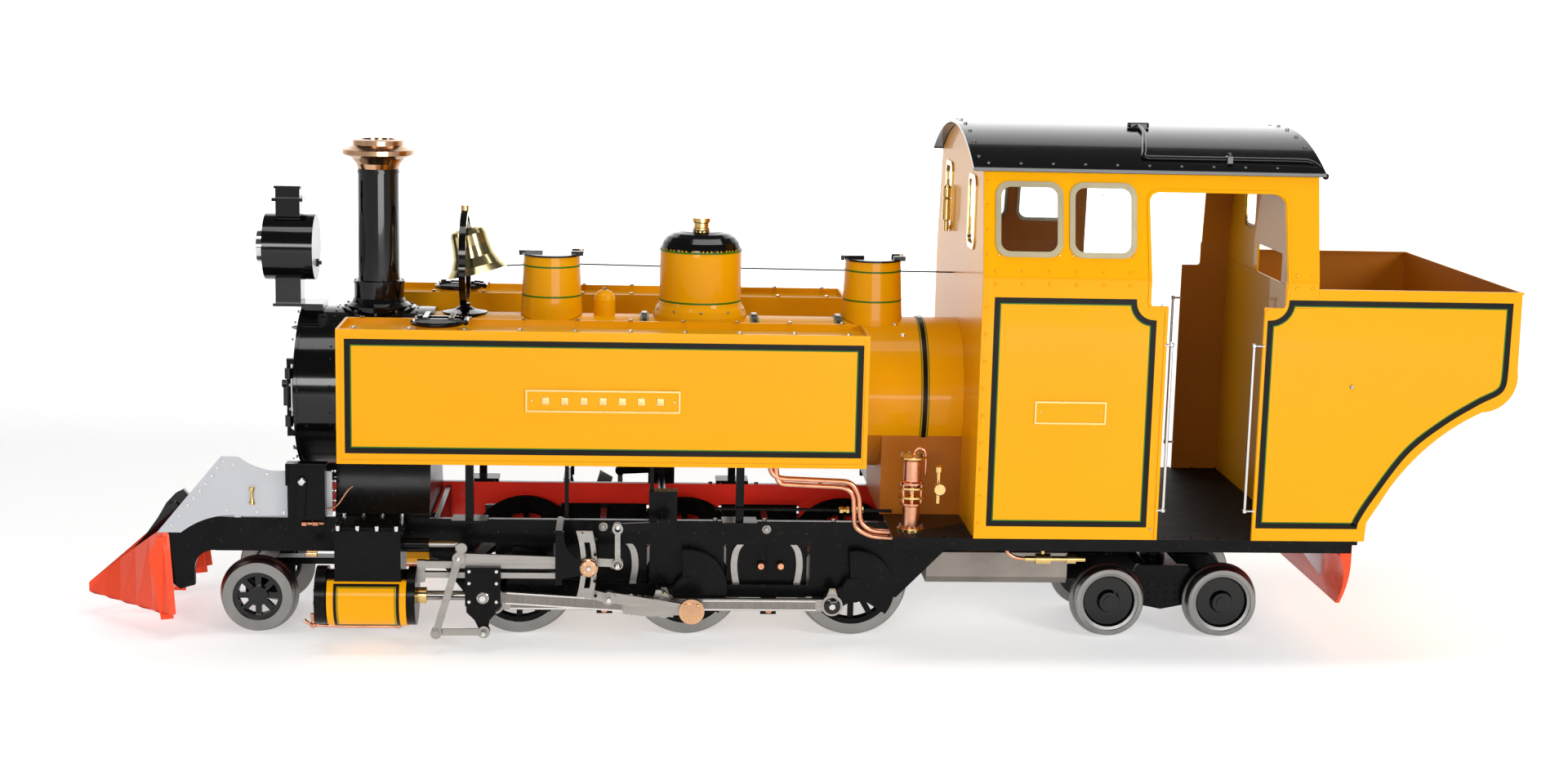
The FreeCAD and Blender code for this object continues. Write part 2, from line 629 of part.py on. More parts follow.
def wing_plate():
    """Polished sheet that stands on the left front frame and runs back to the saddle."""
    steps = [(-608.2, 274), (-582.2, 273.5), ((-560, 260), (-509, 254.2)), (-446, 253.4), (-446, 186),
             (-509, 186), (-575, 184.5), ((-635, 178), (-668, 158.9))]
    plate = plate_xz((-702.8, 158.9), steps, 135.5, 138.5)
    stays = [block(x - 5, x + 5, 126, 136, 182, 188) for x in (-585, -470)]
    sheet = joined(plate, *stays).mirror(vec(0, 0, 0), vec(0, 1, 0))
    save("wing_plate", [sheet])


# ---- boiler and its mountings ---------------------------------------------------------------
def smokebox():
    drum = rod_x(SMOKEBOX_X0, SMOKEBOX_X1, 0, BOILER_Z, SMOKEBOX_R)
    drum = drum.cut(rod_x(SMOKEBOX_X0 - 1, SMOKEBOX_X1 - 8, 0, BOILER_Z, SMOKEBOX_R - 6))
    drum = drum.cut(rod_z(CHIMNEY_X, 0, BOILER_Z, 520, 24))
    ring = rod_x(SMOKEBOX_X0 - 5, SMOKEBOX_X0, 0, BOILER_Z, SMOKEBOX_R + 2)
    ring = ring.cut(rod_x(SMOKEBOX_X0 - 6, SMOKEBOX_X0 + 1, 0, BOILER_Z, 84))
    sleeve = rod_x(-452, -305, 0, BOILER_Z, SMOKEBOX_R)
    foot = plate_yz((-120, 173), [(120, 173), (120, 186), ((104, 225), (100, 300)), (-100, 300),
                                  ((-104, 225), (-120, 186))], -444, -305)
    saddle = foot.cut(sleeve)
    box_pair = pair(block(-508.6, -454, 140, 158, 184, 266))
    save("smokebox", [joined(drum, ring), saddle] + box_pair)


def smokebox_door():
    """Dished door on two hinge lugs at its left edge, with centre dart and clamping dogs."""
    x = SMOKEBOX_X0 - 5
    profile = [(0, 0), (92, 0), (92, 5), (70, 11), (30, 15), (0, 16)]
    outline = [vec(-h - 0.4, r, 0) for r, h in profile]
    face = Part.Face(Part.makePolygon(outline + [outline[0]]))
    door = face.revolve(vec(0, 0, 0), vec(1, 0, 0), 360)
    door.translate(vec(x, 0, BOILER_Z))
    dart = rod_x(x - 34, x - 14, 0, BOILER_Z, 6)
    handles = [block(x - 32, x - 26, -4, 4, BOILER_Z - 34, BOILER_Z),
               block(x - 25, x - 19, 0, 32, BOILER_Z - 4, BOILER_Z + 4)]
    straps = [block(x - 13, x - 4, -100, -20, BOILER_Z + dz - 6, BOILER_Z + dz + 6) for dz in DOOR_STRAPS]
    eyes = [rod_z(x - 8.5, -DOOR_HINGE_Y, BOILER_Z + dz - 8, BOILER_Z + dz + 8, 6) for dz in DOOR_STRAPS]
    body = joined(door, dart, *handles, *straps, *eyes)
    pin_hole = rod_z(x - 8.5, -DOOR_HINGE_Y, 250, 470, 3 + FIT)
    save("smokebox_door", [body.cut(pin_hole)])


def door_hinge():
    x = SMOKEBOX_X0 - 5
    pin = rod_z(x - 8.5, -DOOR_HINGE_Y, BOILER_Z - 60, BOILER_Z + 56, 3)
    lugs = [block(x - 11, x, -108, -100, BOILER_Z + dz - 4, BOILER_Z + dz + 4) for dz in (-56, 52)]
    return joined(pin, *lugs)


def boiler():
    barrel = rod_x(SMOKEBOX_X1, CAB_X0, 0, BOILER_Z, BOILER_R)
    wrapper = joined(rod_x(340, CAB_X0, 0, BOILER_Z, BOILER_R + 1.5),
                     block(372, CAB_X0, -104, 104, FRAME_TOP + 6, BOILER_Z))
    save("boiler", [joined(barrel, wrapper)])


def chimney():
    tube = turned([(24, 466), (56, 466), (56, 482), (49, 484), (41, 489), (37.5, 496), (37.5, 519), (34, 522),
                   (31.5, 523), (30.6, 690), (24, 690)], CHIMNEY_X, 0)
    flare = rod_x(-460, -320, 0, BOILER_Z, SMOKEBOX_R + 4)
    skirt = tube.common(joined(flare, rod_z(CHIMNEY_X, 0, 484, 700, 60), rod_z(CHIMNEY_X, 0, 400, 700, 46)))
    save("chimney", [skirt.cut(rod_x(-460, -320, 0, BOILER_Z, SMOKEBOX_R))])


def chimney_cap():
    return turned([(24, 690), (30, 690), (33, 698), (40, 706), (53.5, 712), (53.5, 719), (46, 722), (38, 726),
                  (38, 733), (33, 734.6), (26, 734.6), (25, 728)], CHIMNEY_X, 0)


def headlamp():
    """Drum lamp on a square post, with a bezel in front, a ventilator above and a knob behind."""
    drum = rod_x(LAMP_X0 + 12, LAMP_X1, 0, LAMP_Z, LAMP_R)
    drum = drum.cut(rod_x(LAMP_X0 + 15, LAMP_X1 - 4, 0, LAMP_Z, LAMP_R - 3))
    drum = drum.cut(rod_x(LAMP_X0, LAMP_X0 + 16, 0, LAMP_Z, LENS_R))
    bezel = rod_x(LAMP_X0, LAMP_X0 + 15, 0, LAMP_Z, LENS_R + 4)
    bezel = bezel.cut(rod_x(LAMP_X0 - 1, LAMP_X0 + 16, 0, LAMP_Z, LENS_R))
    x = LAMP_VENT_X
    vent = joined(block(x - 18, x + 18, -17, 17, LAMP_Z + 46, LAMP_Z + 72),
                  block(x - 23, x + 23, -22, 22, LAMP_Z + 70, LAMP_Z + 75),
                  block(x - 18, x + 18, -17, 17, LAMP_Z + 72, LAMP_Z + 90),
                  block(x - 20, x + 20, -19, 19, LAMP_Z + 89, LAMP_Z + 93))
    knob = joined(rod_x(LAMP_X1 - 1, LAMP_X1 + 4, 0, LAMP_Z - 24, 6),
                  rod_x(LAMP_X1 + 3, LAMP_X1 + 8, 0, LAMP_Z - 24, 3))
    leg = block(x - 19, x + 19, -22, 22, 486, LAMP_Z - 38)
    leg = leg.cut(rod_x(-580, -470, 0, LAMP_Z, LAMP_R))
    shelf = block(x - 22, SMOKEBOX_X0 + 28, -30, 30, 482.5, 487)
    seat = block(SMOKEBOX_X0 - 4, SMOKEBOX_X0 + 28, -30, 30, 470, 483)
    post = joined(leg, shelf, seat).cut(rod_x(-530, SMOKEBOX_X0, 0, BOILER_Z, SMOKEBOX_R + 2))
    post = post.cut(rod_x(-530, -450, 0, BOILER_Z, SMOKEBOX_R))
    save("headlamp", [joined(drum, bezel, vent, knob), post])


def lamp_lens():
    return rod_x(LAMP_X0 + 3, LAMP_X0 + 6, 0, LAMP_Z, LENS_R - FIT)


def bell():
    """Bell hung inside an upright oval yoke on a round foot."""
    x = BELL_X
    yoke = plate_yz((0, 486), [((-48, 503), (-62, 550)), ((-45, 608), (0, 630)), ((45, 608), (62, 550)),
                               ((48, 503), (0, 486))], x - 5, x + 5)
    eye = plate_yz((0, 494), [((-41, 509), (-54, 550)), ((-39, 602), (0, 621)), ((39, 602), (54, 550)),
                              ((41, 509), (0, 494))], x - 6, x + 6)
    base = turned([(0, 466), (34, 466), (34, 475.5), (16, 479), (8, 484), (8, 488), (0, 488)], x, 0)
    base = base.cut(rod_x(-320, -200, 0, BOILER_Z, BOILER_R))
    hook = rod_z(x, 0, BELL_Z + 5, 622, 3)
    lug = block(x - 2.5, x + 2.5, -6, 6, BELL_Z - 6, BELL_Z + 6)
    bore = rod_y(x, BELL_Z, -20, 20, 2.5 + FIT)
    nut = rod_z(x, 0, 629, 637, 6)
    save("bell_stand", [joined(yoke.cut(eye), base, hook, lug, nut).cut(bore)])
    cup = turned([(0, -9), (18, -9), (25, -12), (27.5, -18), (28.5, -34), (31.5, -52), (38, -66),
                  (47, -76), (43.5, -76), (35, -66), (28.5, -52), (25.5, -34), (24, -20), (17, -15),
                  (0, -14)], 0, 0)
    ears = pair(block(-4, 4, 6.5, 10, -10, 5))
    pin = rod_y(0, 0, -10, 10, 2.5)
    clapper = joined(rod_z(0, 0, -66, -14, 2), Part.makeSphere(7, vec(0, 0, -66)))
    whole = joined(cup, *ears, pin, clapper)
    whole.rotate(vec(0, 0, 0), vec(0, 1, 0), -BELL_TILT)
    whole.translate(vec(x, 0, BELL_Z))
    save("bell", [whole])


def sandboxes():
    boxes = []
    for x in SAND_XS:
        body = turned([(0, 460), (46.6, 460), (46.6, 476), (42.4, SAND_TOP), (0, SAND_TOP)], x, 0)
        boxes.append(body.cut(rod_x(x - 60, x + 60, 0, BOILER_Z, BOILER_R + 1.5)))
    turret = turned([(0, 466), (16.5, 466), (16.5, 497), (15, 503), (11, 508.5), (6, 511), (0, 512)], -49, 0)
    boxes.append(turret.cut(rod_x(-80, -20, 0, BOILER_Z, BOILER_R)))
    boxes += [rod_y(x + 44, SAND_TOP + 6, -10, 10, 3) for x in SAND_XS]
    save("boiler_domes", boxes + [steam_dome()])
    for number, x in enumerate(SAND_XS, 1):
        z = SAND_TOP + 0.3
        lid = turned([(0, z), (44, z), (44, z + 3), (0, z + 3)], x, 0)
        lid = lid.cut(block(x + 38, x + 48, -11, 11, z - 6, z + 12))
        ears = [block(x + 30, x + 48, y - 4, y + 4, z + 1, z + 8) for y in (-16, 16)]
        grip = joined(block(x - 50, x - 14, -3, 3, z + 2, z + 6.5), rod_z(x - 47, 0, z - 1, z + 6, 2.6))
        save(f"sandbox_lid_{number}", [joined(lid, *ears, grip)])


def steam_dome():
    body = turned([(0, 460), (70, 460), (72, 470), (71.5, 478), (68, 487), (64, 493), (62.6, 498),
                   (62.2, 570), (61, 580), (57.5, 589), (51, 596.5), (42, 601.5), (30, 604.5), (0, 605.5)], DOME_X, 0)
    return body.cut(rod_x(DOME_X - 90, DOME_X + 90, 0, BOILER_Z, BOILER_R))


def brass_fittings():
    """Safety valve, whistle, feed pump, injector, relief valves and cylinder glands."""
    valve = turned([(0, 605.7), (13, 605.7), (13, 609), (11.5, 610), (11.5, 616.5), (14, 618), (14, 624),
                    (0, 624)], DOME_X, 0)
    whistle = turned([(0, 600), (4, 600), (4, 616), (7, 618), (7, 650), (4, 652), (7, 654), (7, 668),
                      (3, 673),
                      (0, 673)], 485.9, 100)
    whistle_arm = rod_x(486, CAB_X0, 100, 606, 3)
    pump = turned([(0, 188.8), (17, 188.8), (17, 192), (13, 194), (13, 224), (17, 226), (17, 229), (5, 229),
                   (5, 257),
                   (17, 257), (17, 260), (13, 262), (13, 292), (9, 297), (0, 298.8)], 408.5, -200)
    pillars = [rod_z(408.5 + dx, -200 + dy, 229, 257, 2) for dx in (-13, 13) for dy in (-6, 6)]
    injector = joined(rod_x(575, 664, -235, 153.5, 4), rod_x(590, 612, -235, 153.5, 8),
                      rod_x(636, 650, -235, 153.5, 7),
                      rod_z(601, -235, 153, FLOOR_Z - 17.5, 3))
    relief = [rod_x(-478, CYL_X0, s * CYL_Y, 140, 5) for s in SIDES]
    glands = [rod_x(CYL_X1, CYL_X1 + 14, s * CYL_Y, CYL_Z, 12)
              .cut(rod_x(CYL_X1 - 1, CYL_X1 + 15, s * CYL_Y, CYL_Z, 7 + FIT))
              for s in SIDES]
    fittings = [valve, joined(whistle, whistle_arm), joined(pump, *pillars), injector, chimney_cap()]
    save("brass_fittings", fittings + relief + glands + window_rings())


# ---- tanks, cab and bunker -------------------------------------------------------------------


def side_tanks():
    tank = block(TANK_X0, TANK_X1, TANK_IN, SIDE_Y, TANK_Z0, TANK_Z1)
    tank = tank.cut(block(TANK_X0 + 4, TANK_X1 - 4, TANK_IN + 4, SIDE_Y - 4, TANK_Z1 - 9, TANK_Z1 + 1))
    tank = joined(tank, rod_z(FILLER[0], FILLER[1], TANK_Z1 - 9, TANK_Z1, 30))
    save("side_tanks", pair(tank))
    for side in SIDES:
        fx, fy = FILLER[0], side * FILLER[1]
        z = TANK_Z1
        lid = turned([(0, z + 0.3), (38, z + 0.3), (38, z + 4), (35, z + 6), (0, z + 6)], fx, fy)
        straps = [block(fx - 30, fx + 34, fy + dy - 3, fy + dy + 3, z + 6, z + 10) for dy in (-14, 14)]
        knob = rod_z(fx - 24, fy, TANK_Z1 + 6, TANK_Z1 + 13, 4)
        barrel = rod_y(fx + 42, TANK_Z1 + 5.5, fy - 18, fy + 18, 4)
        tails = [block(fx + 30, fx + 42, fy + dy - 3, fy + dy + 3, z + 4, z + 9) for dy in (-14, 14)]
        save(f"tank_lid_{SIDE_NAME[side]}", [joined(lid, knob, barrel, *straps, *tails)])


def leaning(outline_start, steps, thickness, outset=0.0):
    """Plate drawn upright at the waist, then tipped about the waist line to lie in the cab side."""
    flat = plate_xz(outline_start, steps, SIDE_Y - thickness + outset, SIDE_Y + outset)
    tilt = degrees(atan2(SIDE_Y - EAVES_Y, EAVES_Z - WAIST_Z))
    flat.rotate(vec(0, SIDE_Y, WAIST_Z), vec(1, 0, 0), tilt)
    return flat


def rounded(x0, x1, z0, z1, r):
    """Start and steps of a round-cornered rectangle."""
    k = r * (1 - 1 / sqrt(2))
    start = (x0 + r, z0)
    steps = [(x1 - r, z0), ((x1 - k, z0 + k), (x1, z0 + r)), (x1, z1 - r), ((x1 - k, z1 - k), (x1 - r, z1)),
             (x0 + r, z1), ((x0 + k, z1 - k), (x0, z1 - r)), (x0, z0 + r), ((x0 + k, z0 + k), (x0 + r, z0))]
    return start, steps


def cab_outline():
    """Cab end outline in (y, z): leaning sides under an arched top."""
    top_y, top_z = EAVES_Y, EAVES_Z
    low = SIDE_Y - SHEET
    return (-low, FLOOR_Z), [(low, FLOOR_Z), (low, WAIST_Z), (top_y - SHEET, top_z),
                             ((0, ROOF_CROWN - ROOF_T - 0.5), (-top_y + SHEET, top_z)), (-low, WAIST_Z)]


def cab_body():
    front = plate_yz(*cab_outline(), CAB_X0, CAB_X0 + SHEET)
    front = front.cut(rod_x(CAB_X0 - 1, CAB_X0 + 5, 0, BOILER_Z, BOILER_R + 1.7))
    front = front.cut(block(CAB_X0 - 1, CAB_X0 + 5, -104.2, 104.2, FLOOR_Z - 1, BOILER_Z))
    rear = plate_yz(*cab_outline(), CAB_X1 - SHEET, CAB_X1)
    rear = rear.cut(block(CAB_X1 - 5, CAB_X1 + 1, -300, 300, 0, BUNKER_TOP - 14))
    rear = rear.cut(block(CAB_X1 - 5, CAB_X1 + 1, -70, 70, 0, WAIST_Z + 20))
    for y in SPECTACLE_YS:
        front = front.cut(plate_yz(*rounded(y - 34, y + 34, *FRONT_LIGHTS_Z, 16), CAB_X0 - 1, CAB_X0 + 5))
        rear = rear.cut(plate_yz(*rounded(y - 34, y + 34, *REAR_LIGHTS_Z, 16), CAB_X1 - 5, CAB_X1 + 1))
    lower = block(CAB_X0, DOOR_X0, SIDE_Y - SHEET, SIDE_Y, FLOOR_Z, 534)
    band = plate_xz((CAB_X0, 534), [(DOOR_X0 - 26, 534), (DOOR_X0 - 26, WAIST_Z), (CAB_X0, WAIST_Z)],
                    SIDE_Y - SHEET, SIDE_Y)
    rear_band = block(DOOR_X1 + 30, CAB_X1, SIDE_Y - SHEET, SIDE_Y, 534, WAIST_Z)
    top = WAIST_Z + SLANT
    upper = leaning((CAB_X0, WAIST_Z), [(CAB_X0, top), (CAB_X1, top), (CAB_X1, WAIST_Z),
                                       (DOOR_X1 + 31.5, WAIST_Z), (DOOR_X1 + 28.5, top - 40),
                                       ((DOOR_X1 + 20, top - 30), (DOOR_X1 + 12, top - 27)),
                                       (DOOR_X0 - 14, top - 27),
                                       ((DOOR_X0 - 26, top - 31), (DOOR_X0 - 29.5, top - 42)),
                                       (DOOR_X0 - 26, WAIST_Z)], SHEET)
    for x0, x1 in WINDOWS:
        upper = upper.cut(leaning(*rounded(x0, x1, WAIST_Z + WINDOW_Z[0], WAIST_Z + WINDOW_Z[1], 18), 12, 4))
    side = joined(lower, band, rear_band, upper)
    save("cab_body", [joined(front, side, mirrored(side), rear)])


def window_rings():
    """Brass frames of the side and end windows; each is a ring round a pane."""
    rings = []
    for x0, x1 in WINDOWS:
        z0, z1 = WAIST_Z + WINDOW_Z[0], WAIST_Z + WINDOW_Z[1]
        ring = leaning(*rounded(x0 - 3, x1 + 3, z0 - 3, z1 + 3, 20), 2.0, 2.2)
        ring = ring.cut(leaning(*rounded(x0 + 5, x1 - 5, z0 + 5, z1 - 5, 14), 12, 6))
        rings += pair(ring)
    for x, low, high in ((CAB_X0 - 2.2, *FRONT_LIGHTS_Z), (CAB_X1 + 0.2, *REAR_LIGHTS_Z)):
        for y in SPECTACLE_YS:
            ring = plate_yz(*rounded(y - 37, y + 37, low - 3, high + 3, 18), x, x + 2)
            rings.append(ring.cut(plate_yz(*rounded(y - 29, y + 29, low + 5, high - 5, 12), x - 1, x + 3)))
    return rings


def glass_panes():
    panes = []
    z0, z1 = WAIST_Z + WINDOW_Z[0], WAIST_Z + WINDOW_Z[1]
    for x0, x1 in WINDOWS:
        panes += pair(leaning(*rounded(x0 + 0.4, x1 - 0.4, z0 + 0.4, z1 - 0.4, 17.6), 2.0, -0.4))
    for x, low, high in ((CAB_X0 + 0.5, *FRONT_LIGHTS_Z), (CAB_X1 - 2.5, *REAR_LIGHTS_Z)):
        for y in SPECTACLE_YS:
            panes.append(plate_yz(*rounded(y - 33.6, y + 33.6, low + 0.4, high - 0.4, 15.6), x, x + 2))
    save("glass_panes", panes + [lamp_lens()])


def cab_roof():
    centre_z = ROOF_CROWN - ROOF_R
    half = EAVES_Y + 3
    edge_z = centre_z + sqrt(ROOF_R ** 2 - half ** 2)
    inner_edge = centre_z + sqrt((ROOF_R - ROOF_T) ** 2 - half ** 2)
    steps = [(-half, edge_z), ((0, ROOF_CROWN), (half, edge_z)), (half, inner_edge),
             ((0, ROOF_CROWN - ROOF_T), (-half, inner_edge))]
    shell = plate_yz((-half, inner_edge), steps, ROOF_X0, ROOF_X1)
    clamp = joined(block(738, 762, -64, -50, ROOF_CROWN - 6, ROOF_CROWN + 3),
                   rod_x(734, 766, -57, ROOF_CROWN + 1, 4))
    save("cab_roof", [shell, clamp.cut(shell)])


def footplate():
    """Running plate and cab floor, its side valances and the rear buffer beam."""
    deck = block(376, DECK_X1, -SIDE_Y, SIDE_Y, FRAME_TOP + 1, FLOOR_Z)
    deck = deck.cut(block(371, CAB_X0 + 60, -105, 105, 170, 200))
    valances = pair(block(376, DECK_X1 - 8, 250, SIDE_Y, 170.5, FRAME_TOP + 1))
    beam = plate_xz((1047, 183), [(1064, 183), (1064, 160), ((1061, 122), (1050, 89)), (1045, 89),
                                  ((1054, 122), (1047, 160))], -235, 235)
    gussets = pair(plate_xz((988, 183), [(1048, 183), (1048, 106)], 139, 143))
    save("footplate", [joined(deck, *valances), beam] + gussets)


def bunker():
    """Coal bunker: shaped side sheets, curved back sheet and floor, open at the top."""
    def outline():
        return (DOOR_X1, FLOOR_Z), [(DOOR_X1, 534), (DOOR_X1 + 30, 534), (DOOR_X1 + 30, BUNKER_TOP),
                                    (1283.5, BUNKER_TOP), (1285, 446), ((1278, 408), (1236.8, 384.4)),
                                    ((1143, 316), (1094, 248)), (1075.4, 217), (1073.6, FLOOR_Z)]
    side = plate_xz(*outline(), SIDE_Y - SHEET, SIDE_Y)
    side = side.cut(block(DOOR_X1 + 29, CAB_X1 + 0.2, 200, 300, 533.8, 600))
    inner = [(1283.5, BUNKER_TOP), (1285, 446), ((1278, 408), (1236.8, 384.4)), ((1143, 316), (1094, 248)),
             (1075.4, 217), (1073.6, FLOOR_Z + 0.2), (1070.6, FLOOR_Z + 0.2), (1072.2, 218), (1091.3, 249.5),
             ((1141, 318.3), (1235.2, 387.0)), ((1275.5, 410), (1282, 446)), (1280.5, BUNKER_TOP)]
    back = plate_xz(inner[0], inner[1:], -SIDE_Y + SHEET, SIDE_Y - SHEET)
    bulkhead = block(CAB_X1 - SHEET, CAB_X1, -SIDE_Y + SHEET, SIDE_Y - SHEET,
                     FLOOR_Z + 0.2, BUNKER_TOP - 14.3)
    bead = [plate_xz((CAB_X1 + 1, BUNKER_TOP - 3),
                     [(1286, BUNKER_TOP - 3), (1286, BUNKER_TOP), (CAB_X1 + 1, BUNKER_TOP)],
                     SIDE_Y - 5, SIDE_Y)]
    save("bunker", [joined(side, mirrored(side), back, bulkhead, bead[0], mirrored(bead[0]))])


def firebox():
    """Ashpan under the footplate, and the backhead with its controls' brackets in the cab."""
    pan = plate_yz((-117, 86), [(117, 86), (123, 96), (123, 134), (-123, 134), (-123, 96)], 444, 660)
    neck = block(CAB_X0 + SHEET + 0.3, 550, -102, 102, 134, BOILER_Z)
    head = joined(rod_x(CAB_X0 + SHEET + 0.3, 550, 0, BOILER_Z, 112), neck)
    head = head.cut(rod_x(541, 551, 0, 290, 26))
    turret = joined(rod_x(550, 572, 0, 436, 9), rod_z(566, 0, 436, 452, 5))
    column = block(640, 668, 214, 240, FLOOR_Z + 0.2, 296)
    brake = block(590, 614, -232, -212, FLOOR_Z + 0.2, 380)
    save("firebox", [joined(pan, head, turret), column, brake])


def cab_controls():
    door = rod_x(551, 556, 0, 290, 32)
    hinge = joined(block(551.5, 556, 28, 44, 284, 296), rod_z(557, 44, 280, 300, 5))
    knob = rod_x(556, 568, -22, 290, 4)
    save("fire_door", [joined(door, hinge, knob)])
    lever = joined(rod_x(572.3, 580, 0, 436, 11), block(574, 579, 0, 84, 432, 440),
                   rod_x(576, 592, 84, 436, 6))
    save("regulator_handle", [lever])
    x, y, z = REVERSER
    arm = joined(rod_y(x, z, y - 11, y - 5, 13), block(x - 5, x + 5, y - 11, y - 5, z, z + 128),
                 rod_z(x, y - 8, z + 120, z + 158, 6))
    save("reverser_lever", [arm])
    wheel = turned([(26, 386), (31, 386), (31, 392), (26, 392)], 602, -222)
    spoke = joined(block(575, 629, -225, -219, 387.5, 390.5), rod_z(602, -222, 380.3, 394, 6),
                   rod_z(630.5, -222, 391, 412, 2.2))
    save("brake_handle", [joined(wheel, spoke)])


# ---- cylinders and slide bars --------------------------------------------------------------------
def cylinders():
    """Cylinder, valve chest and covers on each side, with the bores that the rods run in."""
    barrel = rod_x(CYL_X0 + 4, CYL_X1 - 4, CYL_Y, CYL_Z, CYL_R - 5)
    ends = [rod_x(CYL_X0, CYL_X0 + 16, CYL_Y, CYL_Z, CYL_R),
            rod_x(CYL_X1 - 12, CYL_X1, CYL_Y, CYL_Z, CYL_R)]
    chest = block(-433.5, -338, 138, CHEST_Y, CYL_Z + 20, 178.2)
    flange = block(-437, -334, 134.4, CHEST_Y + 4, 178.2, 183)
    mount_face = block(-433, -338, 134.4, 150, 90, 165)
    lid = block(-428, -344, 142, CHEST_Y - 4, 183, 187)
    nuts = [rod_z(-428 + 28 * i, 138 + 80 * j, 183, 190.4, 3.5) for i in range(4) for j in range(2)]
    spindle_guide = rod_x(-338, -300, CYL_Y, LEVER_PIVOT[1] + LEVER_TOP - 1.0, 9)
    body = joined(barrel, *ends, chest, flange, mount_face, lid, *nuts, spindle_guide)
    body = body.cut(rod_x(CYL_X0 + 20, CYL_X1 + 1, CYL_Y, CYL_Z, 7 + FIT))
    body = body.cut(rod_x(CYL_X1 - 60, -299, CYL_Y, LEVER_PIVOT[1] + LEVER_TOP - 1.0, 4.5 + FIT))
    save("cylinders", pair(body))
    lagging = rod_x(-444.5, -330, CYL_Y, CYL_Z, CYL_R + 1.5)
    lagging = lagging.cut(rod_x(-460, -320, CYL_Y, CYL_Z, CYL_R - 4.8))
    lagging = lagging.cut(block(-460, -320, CYL_Y - 60, CYL_Y + 60, CYL_Z + 30, 200))
    lagging = lagging.cut(block(-460, -320, 100, 150.2, 0, 200))
    lagging = lagging.cut(block(-434, -337.5, 130, CHEST_Y + 0.2, CYL_Z + 19.8, 200))
    save("cylinder_lagging", pair(lagging))


def guide_bars():
    top = block(CYL_X1, YOKE_X - 10, 179, 189, 120.5, 131)
    low = block(CYL_X1, YOKE_X - 10, 179, 189, 105.8, 114.3)
    end = block(CYL_X1, -306, 179, 189, 99, 131.7)
    end = end.cut(rod_x(-330, -300, CYL_Y, CYL_Z, 12.2))
    save("guide_bars", pair(joined(top, low, end)))


def guide_yoke():
    """Bracket off each frame that holds the slide bars' rear ends and the link trunnion."""
    yoke = plate_yz((FRAME_OUT, 152), [(FRAME_OUT, 186), (219, 186), (219, 104), (206, 104), (206, 116),
                                       (195, 116),
                                       (195, 108), (175, 108), (175, 152)], YOKE_X - 10, YOKE_X)
    yoke = yoke.cut(block(YOKE_X - 11, YOKE_X + 1, 194.5, 205.5, 115, 156))
    tx, tz = TRUNNION
    horn = plate_xz((YOKE_X - 4, 184), [(YOKE_X + 3, 184), ((-90, 150), (tx + 6, tz + 9)), (tx + 10, tz),
                                        (tx, tz - 10), (YOKE_X - 4, 112)],
                    *LINK_BRACKET)
    horn = joined(horn, rod_y(tx, tz, LINK_BRACKET[0], LINK_BRACKET[1], 11))
    horn = bored(horn, TRUNNION, 6 + FIT, *LINK_BRACKET)
    return joined(yoke, horn)


PARTS = (driving_wheels, pony_truck, bogie, frame_plates, frame_stretchers, cowcatcher, wing_plate, smokebox,
         smokebox_door, boiler, chimney, headlamp, bell, sandboxes, brass_fittings, side_tanks, cab_body,
         glass_panes, cab_roof, footplate, bunker, firebox, cab_controls, cylinders, guide_bars,
         radius_rods, lifting_links, reversing_shaft)
SIDED_PARTS = (coupling_rod, connecting_rod, crosshead, return_crank, eccentric_rod, expansion_link,
               combination_lever, union_link, valve_spindle)

for build in PARTS:
    build()
for build in SIDED_PARTS:
    for side in SIDES:
        build(side)
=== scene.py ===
import json
from math import asin, cos, pi, radians, sin, sqrt

import bpy
from mathutils import Matrix, Vector


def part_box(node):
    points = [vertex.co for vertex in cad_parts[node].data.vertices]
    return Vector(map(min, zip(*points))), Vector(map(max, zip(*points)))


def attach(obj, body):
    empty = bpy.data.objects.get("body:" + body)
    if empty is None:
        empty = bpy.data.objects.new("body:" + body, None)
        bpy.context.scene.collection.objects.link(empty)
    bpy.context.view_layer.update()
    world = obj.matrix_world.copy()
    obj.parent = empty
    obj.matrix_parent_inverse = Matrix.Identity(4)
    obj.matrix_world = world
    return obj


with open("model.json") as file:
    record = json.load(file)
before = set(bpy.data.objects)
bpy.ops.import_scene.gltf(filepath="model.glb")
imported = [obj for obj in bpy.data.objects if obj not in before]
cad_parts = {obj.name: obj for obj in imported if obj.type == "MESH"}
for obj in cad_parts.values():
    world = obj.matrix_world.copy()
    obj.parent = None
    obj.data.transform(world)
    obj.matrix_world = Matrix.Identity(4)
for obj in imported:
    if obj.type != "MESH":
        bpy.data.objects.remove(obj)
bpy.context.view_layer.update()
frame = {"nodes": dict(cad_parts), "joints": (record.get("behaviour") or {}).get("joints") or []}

# Looks of the tank locomotive.  Lengths are metres in the frame's axes: +X to the rear, the
# left side at -Y, +Z up.  Drawing millimetres count from the rail top and go through at().
MM = 0.001

node = frame["nodes"]
joint = {j["name"]: j for j in frame["joints"]}


def lo(name):
    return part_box(name)[0]


def hi(name):
    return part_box(name)[1]


